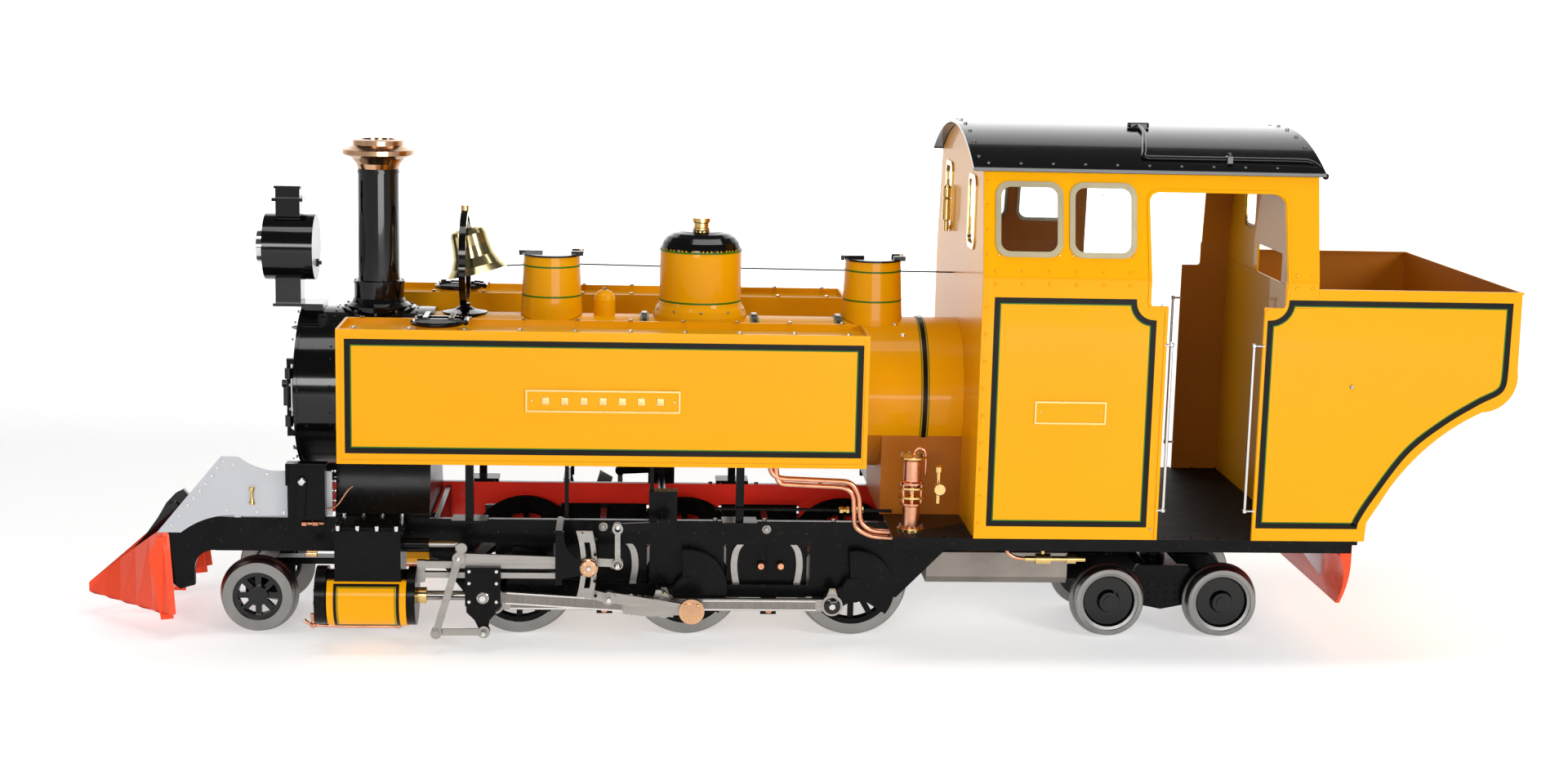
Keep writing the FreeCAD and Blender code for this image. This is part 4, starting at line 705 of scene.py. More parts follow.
def name_plate():
    """Blank nameboard: brass rim, plain field and a row of small diamonds."""
    x0, x1, z0, z1 = -155, 63, 370, 400
    for side, tag in SIDES:
        rim, field, ends = side_plate(side, (x0, x1, z0, z1), 2.6, 2.4, 7, 2.2)
        marks = Batch()
        for k in range(7):
            c = at(x0 + (x1 - x0) * (k + 1) / 8, side * (SIDE + 0.9), (z0 + z1) / 2)
            spun(marks, c, (0, side, 0), [(8.5, 0), (7.2, 1.3), (0, 1.5)], 4)
        rim.build(f"nameboard_rim_{tag}", BRASS)
        field.build(f"nameboard_field_{tag}", ORANGE)
        marks.build(f"nameboard_diamonds_{tag}", BRASS)
        ends.build(f"nameboard_screws_{tag}", BRASS)


def cab_plate():
    for side, tag in SIDES:
        rim, field, screws = side_plate(side, (577, 679, 361, 392), 2.4, 2.2, 8, 2.0)
        rim.build(f"cab_plate_rim_{tag}", BRASS)
        field.build(f"cab_plate_field_{tag}", ORANGE)
        screws.build(f"cab_plate_screws_{tag}", BRASS)


def cab_side(side):
    """Placer for the cab side, upright below the waist and leaning in above it."""
    waist = at(0, 0, WAIST).z

    def place(u, v, lift):
        return Vector((u, side * (SIDE_Y - 0.2 * MM + lift - max(0.0, v - waist) * LEAN), v))
    return place


def door_beading():
    """Half-round bead round the doorway and the seam line at the waist."""
    eaves = 722.0 - 24.3
    front = [(732.4, eaves - 18), (735.6, 572), (735.6, 540), (737.5, 533.5), (743, 531.4),
             (754, 531), (759.5, 529), (761.6, 524), (761.6, 190)]
    top = [(x, eaves - drop) for x, drop in
           ((732.4, 18), (733, 11), (737, 4), (744, 0.8), (750, 0), (916, 0), (926, 2), (934, 7),
            (936, 15), (936.6, 22))]
    rear = [(936.6, eaves - 22), (938.8, 572), (937.2, 540), (935, 533.5), (929, 531.4),
            (915, 531), (909.5, 529), (907, 524), (907, 190)]
    strips = [(path, 4.2, 1.7) for path in (front, top, rear)]
    strips += [([(494, WAIST), (737, WAIST)], 1.6, 1.0), ([(937, WAIST), (982, WAIST)], 1.6, 1.0),
               ([(495.5, 575), (495.5, 718)], 3, 0.9), ([(495.5, 190), (495.5, 568)], 3, 0.9)]
    for side, tag in SIDES:
        b = Batch()
        for path, width, thick in strips:
            ribbon(b, xz(path), width, cab_side(side), closed=False, thick=thick)
        b.build(f"cab_beading_{tag}", ORANGE)


def window_screws():
    """Small screws round the brass window frames."""
    for side, tag in SIDES:
        b = Batch()
        for x0, x1 in ((513.9, 605.5), (621, 712.4)):
            for x in (x0 + 2, (x0 + x1) / 2, x1 - 2):
                for z in (604, 690):
                    rivet(b, at(x, side * (259.0 - (z - WAIST) * LEAN), z), (0, side, 0.22), 1.4)
        b.build(f"window_screws_{tag}", BRASS)


# ---- boiler clothing ----
def band(name, x, width, material, thick):
    """Flat hoop round the boiler, open below; x is in metres, width and thick in millimetres."""
    start, end, steps = -75, 255, 82
    half = width / 2 * MM
    inner, outer = BOILER_R - 0.2 * MM, BOILER_R + thick * MM
    sections = []
    for k in range(steps + 1):
        ang = radians(start + (end - start) * k / steps)
        sections.append([Vector((x + dx, r * cos(ang), BOILER_Z + r * sin(ang))) for r, dx in
                         ((inner, -half), (outer, -half), (outer, half), (inner, half))])
    b = Batch()
    loft(b, sections)
    b.build(name, material, smooth=True)


def boiler_bands():
    clips = Batch()
    z = BOILER_Z + BOILER_R
    for k, x in enumerate((-330, -141, 12, 180, 309, 435)):
        px = at(x, 0, 0).x
        band(f"boiler_band_{k}", px, 7, LINE_BLACK, 1.1)
        band(f"boiler_band_line_a_{k}", px - 5.6 * MM, 1.5, LINE_GREEN, 0.5)
        band(f"boiler_band_line_b_{k}", px + 5.6 * MM, 1.5, LINE_GREEN, 0.5)
        slab(clips, (px - 4 * MM, -9 * MM, z + 0.5 * MM), (px + 4 * MM, 9 * MM, z + 3 * MM))
    clips.build("band_clips", STEEL)


def hoop(batch, centre, radius, half, thick):
    """Raised flat ring round a vertical drum, in millimetres."""
    inner, outer = radius - 0.3, radius + thick
    loft(batch, [[centre + Vector((r * c, r * s, h)) * MM
                  for r, h in ((inner, half), (outer, half), (outer, -half), (inner, -half))]
                 for c, s in turns(48)], ring=True)


def dome_bands():
    """Green rings on the domes and the screws of the dome's base."""
    green, screws = Batch(), Batch()
    for x in (-129.6, 361.5):
        for z, r in ((504, 45.2), (549, 43.1)):
            hoop(green, at(x, 0, z), r, 1.3, 0.35)
    for z in (576, 499.5):
        hoop(green, at(DOME_X, 0, z), 62.3, 1.4, 0.5)
    green.build("dome_rings_green", LINE_GREEN)
    hex_bolt(screws, at(-49, 0, 511.6), UP, 3)
    for c, s in turns(10, pi / 10):
        rivet(screws, at(DOME_X + 68 * c, 68 * s, 486.8), (0.75 * c, 0.75 * s, 0.66), 2.2)
    screws.build("dome_screws", STEEL)


def chimney_details():
    x, shell = -390.5, 125
    bolts, ring = Batch(), Batch()
    for c, s in turns(10, pi / 10):
        y = 51 * s
        z = 360 + sqrt(shell ** 2 - y * y)
        hex_bolt(bolts, at(x + 51 * c, y, z - 0.2), (0, y / shell, 1), 2.6)
    bolts.build("chimney_base_bolts", STEEL)
    hoop(ring, at(x, 0, 519.5), 37.4, 2.2, 1.2)
    hoop(ring, at(x, 0, 686), 30.2, 2.0, 1.4)
    ring.build("chimney_rings", BLACK)


def smokebox_details():
    front = lo("smokebox").x
    screws, rows, dogs = Batch(), Batch(), Batch()
    for c, s in turns(20, 0.16):
        hex_bolt(screws, (front + 0.2 * MM, 115 * MM * c, BOILER_Z + 115 * MM * s), (-1, 0, 0), 2.4)
    screws.build("smokebox_front_bolts", STEEL)
    for x in (-451, -331):
        for k in range(26):
            a = radians(-30 + 240 * k / 25)
            shell = Vector((0, cos(a), sin(a)))
            rivet(rows, Vector((at(x, 0, 0).x, 0, BOILER_Z)) + shell * 121 * MM, shell, 1.8)
    rows.build("smokebox_rivets", BLACK)
    for c, s in turns(8, pi / 8):
        spun(dogs, (front + MM, 100 * MM * c, BOILER_Z + 100 * MM * s), (-1, 0, 0),
             [(3.2, 0), (3.2, 5), (2, 6), (2, 9), (0, 9.4)], 12)
    dogs.build("door_dog_studs", STEEL)


# ---- roof, rails and cords ----
def roof_z(y):
    """Height of the roof's outer skin above one lateral place (drawing millimetres)."""
    crown, edge_y, edge_z = 780.0, 226.0, 724.0
    rise = crown - edge_z
    radius = (edge_y ** 2 + rise ** 2) / (2 * rise)
    return crown - radius + sqrt(radius ** 2 - y * y)


def roof_details():
    x0, x1 = ROOF_LO.x, ROOF_HI.x
    bolts, clip, ribs = Batch(), Batch(), Batch()
    for x in (x0 + 11 * MM, x1 - 11 * MM):
        for y in range(-196, 197, 49):
            hex_bolt(bolts, (x, y * MM, FLANGE + (roof_z(y) - 0.1) * MM), (0, y / 480, 1), 2.8)
    for side in (-1, 1):
        for k in range(10):
            hex_bolt(bolts, at(923 - k * 46.8, side * 213, roof_z(213) - 0.1),
                     (0, side * 0.44, 0.9), 2.7)
        slab(ribs, (x0, side * 223.5 * MM, FLANGE + 721 * MM),
             (x1, side * 228 * MM, FLANGE + 726.5 * MM))
    bolts.build("roof_edge_bolts", STEEL)
    pts = [at(750 - max(0, -100 - y) * 0.2, y, roof_z(y) + 3.6) for y in range(-58, -190, -11)]
    pts.append(at(730, -193, roof_z(193) + 3.8))
    rest = roof_z(197) + 3.8
    pts += [at(x, y, rest - drop) for x, y, drop in
            ((736, -197, 0), (748, -197, 0), (800, -197, 0), (900, -197, 0), (962, -197, 0),
             (976, -199, 1), (985, -205, 7), (990, -211, 14), (993, -216, 20))]
    tube("roof_pipe", pts, 3.7, BLACK)
    seat = roof_z(197)
    slab(clip, at(851, -204, seat - 4), at(861, -191, seat + 9))
    spun(clip, at(856, -197, seat + 8.5), UP, [(3, 0), (3, 4), (0, 5)], 12)
    spun(clip, at(993, -216, rest - 24), (0.2, -0.4, 1),
         [(0, -1), (3.6, 0.5), (5, 4), (3.6, 7.5), (0, 9)], 20)
    clip.build("roof_pipe_clips", BLACK)
    ribs.build("roof_gutters", BLACK)


def handrails():
    """Bright rails beside the doorway on short pillars."""
    for side, tag in SIDES:
        y = side * 256.8
        for n, (x, edge) in enumerate(((771.5, 763.5), (892.5, 905)), 1):
            pts = [at(x, y, z) for z in (231, 300, 400, 479)]
            tube(f"door_rail_{tag}_{n}", pts, 2.4, CHROME, smooth_path=False)
            knobs = Batch()
            reach = abs(edge - x)
            for z in (233, 478):
                spun(knobs, at(x, y, z - 3.4), UP,
                     [(2.6, 0), (3.6, 1.2), (3.6, 5.6), (2.6, 6.8)], 16)
                spun(knobs, at(x, y, z), (1 if edge > x else -1, 0, 0),
                     [(1.8, 0), (1.8, reach - 1), (3, reach), (3, reach + 2)], 12)
            knobs.build(f"door_rail_pillars_{tag}_{n}", CHROME, smooth=True)


def bell_wire():
    """Stretched wire from the bell through eyes on the domes to the cab front."""
    holds = [(-129.6, 46.5, 545), (DOME_X, 65.5, 540), (361.5, 46.5, 541)]
    run = [(-198, 2, 546), (-170, 20, 545.5)] + holds + [(499, 46, 541)]
    tube("bell_wire", [at(*p) for p in run], 1.1, BLACK_SATIN, smooth_path=False)
    eyes = Batch()
    for x, y, z in holds:
        spun(eyes, at(x, y - 4.6, z), (0, 1, 0),
             [(2.6, 0), (2.6, 2), (1.8, 3), (2.6, 4.4), (0, 5.4)], 12)
    eyes.build("bell_wire_eyes", BRASS)


# ---- tank tops ----
def tank_tops():
    for side, tag in SIDES:
        bolts, straps = Batch(), Batch()
        for k in range(11):
            for y in (147, 252.5):
                x = TANK_LO.x + (25 + 78 * k) * MM
                hex_bolt(bolts, (x, side * y * MM, TANK_HI.z), UP, 3.3)
        bolts.build(f"tank_top_screws_{tag}", CHROME)
        body = "tank_lid_" + tag
        a, b = lo(body), hi(body)
        for x in (a.x + (b.x - a.x) * 0.28, a.x + (b.x - a.x) * 0.72):
            slab(straps, (x - 4 * MM, a.y + 8 * MM, b.z - 3 * MM),
                 (x + 4 * MM, b.y - 8 * MM, b.z + 1.2 * MM))
        straps.build(f"tank_lid_straps_{tag}", BLACK, body)


# ---- front end ----
def wing_bolts():
    """Small square bolts along the edges of the side sheet, and the turned brass pillar on it."""
    face = lo("wing_plate").y / MM
    b, pillar = Batch(), Batch()
    for x, z in ((-604, 267), (-613, 256), (-621, 245), (-630, 233), (-639, 222), (-648, 211),
                 (-657, 200), (-670, 184), (-682, 171), (-590, 262), (-540, 248), (-600, 193),
                 (-556, 191), (-517, 190)):
        slab(b, at(x - 2.2, face - 1.6, z - 2.2), at(x + 2.2, face + 0.4, z + 2.2))
    b.build("wing_plate_bolts", CHROME, slot="sheet_alloy")
    spun(pillar, at(-563, face - 2.5, 203), UP,
         [(4.2, 0), (4.6, 2), (2.6, 7), (2.2, 13), (2.6, 19), (4.6, 24), (4.2, 26)], 20)
    pillar.build("wing_plate_pillar", BRASS, smooth=True)


def drawbar():
    """Forged push bar over the front of the cowcatcher, deep at its root and tapered to the tip."""
    spine = [(-686, 190, 6), (-694, 183, 9), (-706, 166, 12), (-722, 144, 9), (-744, 118, 6),
             (-766, 96, 4.5), (-783, 80, 3.5)]
    sections = []
    for k, (x, z, half) in enumerate(spine):
        before, after = spine[max(0, k - 1)], spine[min(len(spine) - 1, k + 1)]
        d = Vector((after[0] - before[0], 0, after[1] - before[1])).normalized()
        n = Vector((-d.z, 0, d.x)) * half
        sections.append([at(x, 0, z) + (n * sn + Vector((0, 5 * sy, 0))) * MM
                         for sy, sn in ((-1, -1), (1, -1), (1, 1), (-1, 1))])
    b, bracket = Batch(), Batch()
    loft(b, sections)
    spun(b, at(-704, -9, 168), (0, 1, 0), [(7, 0), (8, 1), (8, 17), (7, 18)], 20)
    b.build("front_push_bar", BLACK)
    slab(bracket, at(-692, -16, 140), at(-676, 16, 176))
    bracket.build("push_bar_bracket", BLACK)


# ---- footplate details ----
def valance_studs():
    for side, tag in SIDES:
        b = Batch()
        for k in range(40):
            hex_bolt(b, at(-560 + k * 40.5, side * 250, 190), UP, 1.5)
        b.build(f"deck_screws_{tag}", BLACK_SATIN)


def frame_bolts():
    """Bolts, brake pins and hangers on the main frames, and the panels behind their windows."""
    for side, tag in SIDES:
        out = (0, side, 0)
        face = side * hi("frame_plates").y / MM
        b, pins, ends, panels, hangers, feet = (Batch() for _ in range(6))
        for x, z in ((-46, 172), (199, 170)):
            spun(b, at(x, face, z), out, [(7, -0.3), (7, 1.6), (6, 2.2), (0, 2.2)], 20)
            hex_bolt(b, at(x, face + side * 1.9, z), out, 4.6)
        b.build(f"frame_bolts_{tag}", STEEL)
        for x, z in ((-43, 44), (205, 44), (-31, 112), (192, 112), (222, 112)):
            spun(pins, at(x, side * 117, z), out, [(4, 0), (4, 12)], 16)
            spun(ends, at(x, side * 127, z), out, [(5.4, 0), (5.4, 6), (4.4, 7), (0, 7)], 18)
        pins.build(f"brake_pins_{tag}", BLACK_SATIN, smooth=True)
        ends.build(f"brake_pin_ends_{tag}", COPPER, smooth=True)
        for x0, x1, z0, z1 in ((-116, 20, 60, 150), (140, 262, 60, 150), (-55, -31, 34, 62),
                               (193, 217, 34, 62)):
            slab(panels, at(x0, side * 116.5, z0), at(x1, side * 119.5, z1))
        panels.build(f"frame_inner_panels_{tag}", BLACK_SATIN)
        for x, way in ((2, -1), (152, 1), (250, -1)):
            hanger(hangers, x, way, side)
        hangers.build(f"brake_hangers_{tag}", STEEL)
        for x in (-262, -224, -110, 122, 138, 176, 196, 300):
            hex_bolt(feet, at(x, side * 129, 182), UP, 3.4)
        feet.build(f"frame_top_bolts_{tag}", STEEL)


def hanger(batch, x, way, side):
    """Curved flat strip seen in the frame windows."""
    spine = smooth_line([(x + way * 14, 147), (x + way * 8, 143), (x + way * 2.5, 134), (x, 122),
                         (x - way * 0.5, 108), (x + way * 1.5, 92), (x + way * 3, 84)], 4)
    section = ((-5, 120), (5, 120), (5, 126), (-5, 126))
    loft(batch, [[at(u + dx, side * y, v) for dx, y in section] for u, v in spine])


# ---- motion details ----
def joint_at(name):
    return Vector(joint[name]["pos_m"])


def outer(name):
    """Distance of a node's outer face from the centre line."""
    return max(abs(lo(name).y), abs(hi(name).y))


def rod_bolts():
    """Washers on the coupling rod's end pins, and the bolt head on the rear one."""
    for side, tag in SIDES:
        axis = Vector((0, side, 0))
        rod = f"coupling_rod_{tag}"
        caps, steel = Batch(), Batch()
        pin = joint_at(f"{rod}_pin")
        for offset in (-AXLE_STEP, AXLE_STEP):
            c = Vector((pin.x + offset * MM, side * outer(rod), pin.z))
            spun(caps, c, axis, [(12.5, -0.4), (12.5, 2.4), (11, 3.4), (0, 3.4)], 28)
            if offset > 0:
                hex_bolt(steel, c + axis * 3.2 * MM, axis, 5.4)
        caps.build(f"coupling_rod_washers_{tag}", BLACK, rod, smooth=True)
        steel.build(f"coupling_rod_bolts_{tag}", CHROME, rod)


def grease_box(batch, top, origin, side, size):
    """Oil cup: trapezoid box with a small brass lid."""
    w, h, d = size * MM, size * 0.85 * MM, 4.5 * MM
    o = Vector(origin)
    verts = [o + Vector((x, side * y, z)) for y in (0, d)
             for x, z in ((-w, 0), (w, 0), (w * 0.55, h), (-w * 0.55, h))]
    batch.add(verts, [(0, 1, 2, 3), (7, 6, 5, 4), (0, 4, 5, 1), (1, 5, 6, 2), (2, 6, 7, 3),
                      (3, 7, 4, 0)])
    spun(top, o + Vector((0, side * d / 2, h)), UP, [(2.6, -0.2), (2.6, 1.6), (0, 2.6)], 12)


def bar_between(batch, p, q, half, face, span, side, trim):
    """Flat bar along the line p-q in the side plane, lying on a face.

    half is its half depth at each end, span its reach under and over the face, trim what is left
    off each end; all three are in millimetres.
    """
    d = (q - p).normalized()
    n = Vector((-d.z, 0, d.x))
    ends = ((p + d * trim[0] * MM, half[0]), (q - d * trim[1] * MM, half[1]))
    verts = []
    for lift in span:
        for e, h in ends:
            for sgn in (-1, 1):
                v = e + n * h * MM * sgn
                verts.append(Vector((v.x, side * (face + lift * MM), v.z)))
    batch.add(verts, [(0, 2, 3, 1), (4, 5, 7, 6), (0, 1, 5, 4), (2, 6, 7, 3), (0, 4, 6, 2),
                      (1, 3, 7, 5)])


def main_rod_details(side, tag):
    """Raised flanges and web of the connecting rod, its strap ends, bolts and oil cup."""
    name = f"connecting_rod_{tag}"
    face = outer(name)
    small = joint_at(f"{name}_swing")
    small.y = 0
    angle = radians(CRANK_ANGLE[side])
    big = Vector((AXLES[1].x + THROW * cos(angle), 0, AXLES[1].z + THROW * sin(angle)))
    d = (big - small).normalized()
    n = Vector((-d.z, 0, d.x))
    if n.z < 0:
        n = -n
    length = (big - small).length / MM
    rims, strap, web, bolts, cup, lid = (Batch() for _ in range(6))
    for sgn in (-1, 1):
        off = n * 7.8 * MM * sgn
        bar_between(rims, small + off, big + off, (1.2, 1.2), face, (-0.2, 0.5), side, (34, 62))
    bar_between(strap, small, big, (12, 13.5), face, (-0.3, 1.1), side, (length - 60, 22))
    bar_between(strap, small, big, (13, 11), face, (-0.3, 1.1), side, (14, length - 26))
    bar_between(web, small, big, (6.9, 6.9), face, (-0.2, 0.25), side, (27, 62))
    web.build(f"connecting_rod_web_{tag}", STEEL_DARK, name)
    rims.build(f"connecting_rod_flanges_{tag}", CHROME, name)
    strap.build(f"connecting_rod_straps_{tag}", STEEL, name)
    for t in (28, 38, 50):
        for sgn in (-1, 1):
            c = big - d * t * MM + n * 13 * MM * sgn
            hex_bolt(bolts, (c.x, side * (face - 5 * MM), c.z), n * sgn, 3.6)
    bolts.build(f"connecting_rod_bolts_{tag}", CHROME, name)
    c = big + n * 16 * MM
    grease_box(cup, lid, (c.x, side * (face - 5.5 * MM), c.z), side, 7.5)
    cup.build(f"big_end_cup_{tag}", STEEL, name)
    lid.build(f"big_end_cup_lid_{tag}", BRASS, name)


def side_rod_details(side, tag):
    """Raised flanges and web of the coupling rod, and its oil cups."""
    rod = f"coupling_rod_{tag}"
    face = outer(rod)
    pin = joint_at(f"{rod}_pin")
    rims, web, cup, lid = (Batch() for _ in range(4))
    for x0, x1 in ((-AXLE_STEP, 0), (0, AXLE_STEP)):
        p, q = (Vector((pin.x + x * MM, 0, pin.z)) for x in (x0, x1))
        for dz in (-6.6, 6.6):
            off = Vector((0, 0, dz * MM))
            bar_between(rims, p + off, q + off, (1.1, 1.1), face, (-0.2, 1.0), side, (24, 24))
        bar_between(web, p, q, (5.5, 5.5), face, (-0.2, 0.25), side, (25, 25))
    web.build(f"coupling_rod_web_{tag}", STEEL_DARK, rod)
    for dx in (-AXLE_STEP, AXLE_STEP):
        grease_box(cup, lid, (pin.x + dx * MM, side * (face - 5 * MM), pin.z + 17 * MM), side, 7)
    rims.build(f"coupling_rod_flanges_{tag}", CHROME, rod)
    cup.build(f"coupling_rod_cups_{tag}", STEEL, rod)
    lid.build(f"coupling_rod_cup_lids_{tag}", BRASS, rod)


def rod_details():
    for side, tag in SIDES:
        main_rod_details(side, tag)
        side_rod_details(side, tag)
        link = f"eccentric_rod_{tag}"
        cap = Batch()
        x, z = hi(link).x - 19 * MM, lo(link).z + 20 * MM
        for c, s in turns(4, pi / 4):
            rivet(cap, (x + 13 * MM * c, side * outer(link), z + 13 * MM * s), (0, side, 0), 2)
        cap.build(f"eccentric_rod_screws_{tag}", BRASS, link)


def trunnion_caps():
    for side, tag in SIDES:
        axis = Vector((0, side, 0))
        pivot = joint_at(f"expansion_link_{tag}_swing")
        cap, screws = Batch(), Batch()
        c = Vector((pivot.x, side * 219 * MM, pivot.z))
        spun(cap, c, axis, [(13.5, -0.3), (13.5, 4), (11.5, 6), (5, 6.4), (0, 6.4)], 32)
        hex_bolt(screws, c + axis * 6.2 * MM, axis, 4)
        for along, up in turns(4, pi / 4):
            rivet(screws, c + axis * 5.4 * MM + Vector((9 * MM * along, 0, 9 * MM * up)), axis, 1.4)
        cap.build(f"trunnion_cap_{tag}", BRONZE, smooth=True)
        screws.build(f"trunnion_screws_{tag}", CHROME)


def crosshead_bolts():
    """Black outer plate over the slide bars, with its six bolts and the pin head."""
    outline = [(-26, 46), (26, 46), (26, -12), (18, -20), (10, -34), (-10, -34), (-18, -20),
               (-26, -12)]
    for side, tag in SIDES:
        name = f"crosshead_{tag}"
        pin = joint_at(f"connecting_rod_{tag}_swing")
        axis = (0, side, 0)

        def on_pin(dx, y, dz):
            return Vector((pin.x + dx * MM, side * y * MM, pin.z + dz * MM))
        cover, s = Batch(), Batch()
        plate(cover, *([on_pin(x, y, z) for x, z in outline] for y in (192.2, 196.6)))
        cover.build(f"crosshead_plate_{tag}", BLACK_SATIN, name)
        for dx, dz in ((-20, 40), (20, 40), (-20, 22), (20, 22), (-20, -6), (20, -6)):
            hex_bolt(s, on_pin(dx, 196.5, dz), axis, 2.9, 0.3)
        spun(s, on_pin(0, 196.5, 0), axis, [(9, 0), (9, 1.2), (8, 1.8), (0, 1.8)], 24)
        hex_bolt(s, on_pin(0, 198, 0), axis, 6.2)
        s.build(f"crosshead_bolts_{tag}", CHROME, name)


def pin_heads():
    """Hexagon pin heads on the light motion, each on the piece that it turns with."""
    for side, tag in SIDES:
        lever, link = f"combination_lever_{tag}", f"expansion_link_{tag}"
        for name, pins, size in ((lever, (f"{lever}_swing", f"union_link_{tag}_swing"), 3.6),
                                 (link, (f"eccentric_rod_{tag}_pin",), 4.2)):
            heads = Batch()
            for pin in pins:
                c = joint_at(pin)
                hex_bolt(heads, (c.x, side * outer(name), c.z), (0, side, 0), size, 0.4)
            heads.build(f"{name}_pin_heads", CHROME, name)
    links = Batch()
    a, b = lo("lifting_links"), hi("lifting_links")
    for side in (-1, 1):
        for z in (a.z + 5 * MM, b.z - 5 * MM):
            hex_bolt(links, ((a.x + b.x) / 2, side * outer("lifting_links"), z), (0, side, 0),
                     3.8, 0.4)
    links.build("lifting_link_pin_heads", CHROME, "lifting_links")


def link_bolts():
    for side, tag in SIDES:
        link = f"expansion_link_{tag}"
        pivot = joint_at(f"{link}_swing")
        b = Batch()
        for dx, dz in ((10, -42), (9, -20), (9, 20), (10, 42)):
            hex_bolt(b, (pivot.x + dx * MM, side * outer(link), pivot.z + dz * MM),
                     (0, side, 0), 2.6)
        b.build(f"expansion_link_bolts_{tag}", BLACK_SATIN, link)


# ---- pipes and fittings ----
def bent(points, r):
    """Straight runs joined by round bends; drawing millimetres in, points of the frame out."""
    pts = [Vector(p) for p in points]
    out = [pts[0]]
    for k in range(1, len(pts) - 1):
        a, b, c = pts[k - 1], pts[k], pts[k + 1]
        back = (a - b).normalized() * min(r, (a - b).length * 0.48)
        ahead = (c - b).normalized() * min(r, (c - b).length * 0.48)
        for s in range(7):
            t = s / 6
            out.append((1 - t) ** 2 * (b + back) + 2 * t * (1 - t) * b + t * t * (b + ahead))
    out.append(pts[-1])
    return [at(*p) for p in out]


def plumbing():
    """Pipes of the left side, the steam pump's flanges, the check valve and the drain cocks."""
    union, flanges, nuts, valve, wheel, cocks = (Batch() for _ in range(6))
    for n, d in enumerate((0, 8.4), 1):
        run = [(197 + d, -196, 292), (200 + d, -196, 270 - d * 0.2), (212, -196, 262 - d),
               (318 - d, -196, 258 - d), (331 - d, -196, 240), (334 - d, -196, 196 - d),
               (350, -196, 184 - d), (384, -196, 182.6 - d)]
        tube(f"tank_feed_pipe_{n}", bent(run, 12), 3.9, COPPER, smooth_path=False)
    for x in (313, 334):
        spun(union, at(x - 8, -160, 207), (1, 0, 0),
             [(3.2, 0), (5.4, 1), (5.4, 6), (3.6, 7), (3.6, 10), (5.4, 11), (5.4, 15), (3, 16)], 6)
    union.build("feed_unions", BRASS)
    for name, bend, radius, metal, run in (
            ("blower_pipe", 9, 2.6, BLACK_SATIN,
             [(120, -160, 207), (260, -160, 207), (384, -160, 206)]),
            ("injector_pipe", 10, 3.0, COPPER,
             [(545, -235, 171), (552, -235, 158), (566, -235, 153.5), (590, -235, 153.5)]),
            ("lubricator_pipe", 8, 1.6, COPPER,
             [(-452, -156, 200), (-436, -158, 205), (-420, -158, 230), (-413, -158, 236)])):
        tube(name, bent(run, bend), radius, metal, smooth_path=False)
    steam = [(410, -200, 300), (410, -200, 306), (418, -200, 311), (426, -200, 307),
             (428, -200, 296), (428, -196, 270)]
    tube("pump_steam_pipe", [at(*p) for p in steam], 2.2, COPPER)
    for z in (189.5, 238, 252, 297):
        spun(flanges, at(PUMP_X, -200, z - 2), UP, [(19, 0), (20, 0.8), (20, 3.2), (19, 4)], 32)
    flanges.build("pump_flanges", BRASS, smooth=True)
    for z in (193.4, 255.9, 301):
        for c, s in turns(8, 0.2):
            hex_bolt(nuts, at(PUMP_X + 17.2 * c, -200 + 17.2 * s, z - 0.2), UP, 1.8)
    nuts.build("pump_nuts", STEEL)
    spun(valve, at(447, -205, 229), UP, [(4, 0), (4, 18), (7, 20), (7, 28), (4, 30), (4, 46),
                                                (6.5, 47), (6.5, 55), (0, 58)], 20)
    valve.build("check_valve", BRASS, smooth=True)
    spun(wheel, at(447, -219, 253), (0, -1, 0),
         [(2, -10), (2, 2), (8, 2), (9, 3.5), (8, 5), (0, 5)], 24)
    wheel.build("check_valve_wheel", BRASS, smooth=True)
    drain = [(-484, -176, 38), (-480, -178, 31), (-440, -180, 29), (-380, -180, 29),
             (-338, -180, 29), (-331, -178, 36)]
    tube("cylinder_drain_pipe", [at(*p) for p in drain], 2.4, COPPER)
    for side in (-1, 1):
        for x in (-470, -346):
            spun(cocks, at(x, side * 180, 45), (0, 0, -1),
                 [(4.5, -3), (4.5, 3), (3, 4), (3, 11), (5, 12), (5, 17), (2, 19), (0, 19)], 16)
    cocks.build("drain_cocks", COPPER, smooth=True)
    tube("cylinder_drain_pipe_right", [at(x, -y, z) for x, y, z in drain], 2.4, COPPER)


def lubricator_details():
    """Box lid, drive arm and unions of the mechanical lubricators, and rivets beside them."""
    b, c, arms = Batch(), Batch(), Batch()
    arm = [(-493, 248), (-485, 250), (-480, 243), (-484, 190), (-490, 186), (-495, 190)]
    for side in (-1, 1):
        spun(b, at(-495, side * 149, 268.6), UP, [(3, -0.2), (3, 1.5), (0, 2.4)], 14)
        spun(c, at(-489, side * 150, 178), (1, 0, 0),
             [(5.4, 0), (5.4, 7), (3.6, 8), (3.6, 15), (5, 16), (5, 24), (3, 25), (3, 32)], 6)
        plate(arms, *([at(x, side * y, z) for x, z in arm] for y in (158.2, 163.2)))
        spun(b, at(-486.5, side * 163, 243), (0, side, 0),
             [(5.6, -0.2), (5.6, 3), (4, 4.4), (0, 4.6)], 20)
        slab(arms, at(-511, side * 139, 264), at(-452, side * 161, 269))
        slab(arms, at(-511, side * 139, 236), at(-507, side * 161, 266))
        for x in (-448, -444):
            for k in range(4):
                rivet(b, at(x, side * 121, 250 - 15 * k), (0, side, 0), 2.4)
    arms.build("lubricator_arms", BLACK_SATIN)
    b.build("lubricator_knobs", CHROME, smooth=True)
    c.build("lubricator_unions", COPPER)


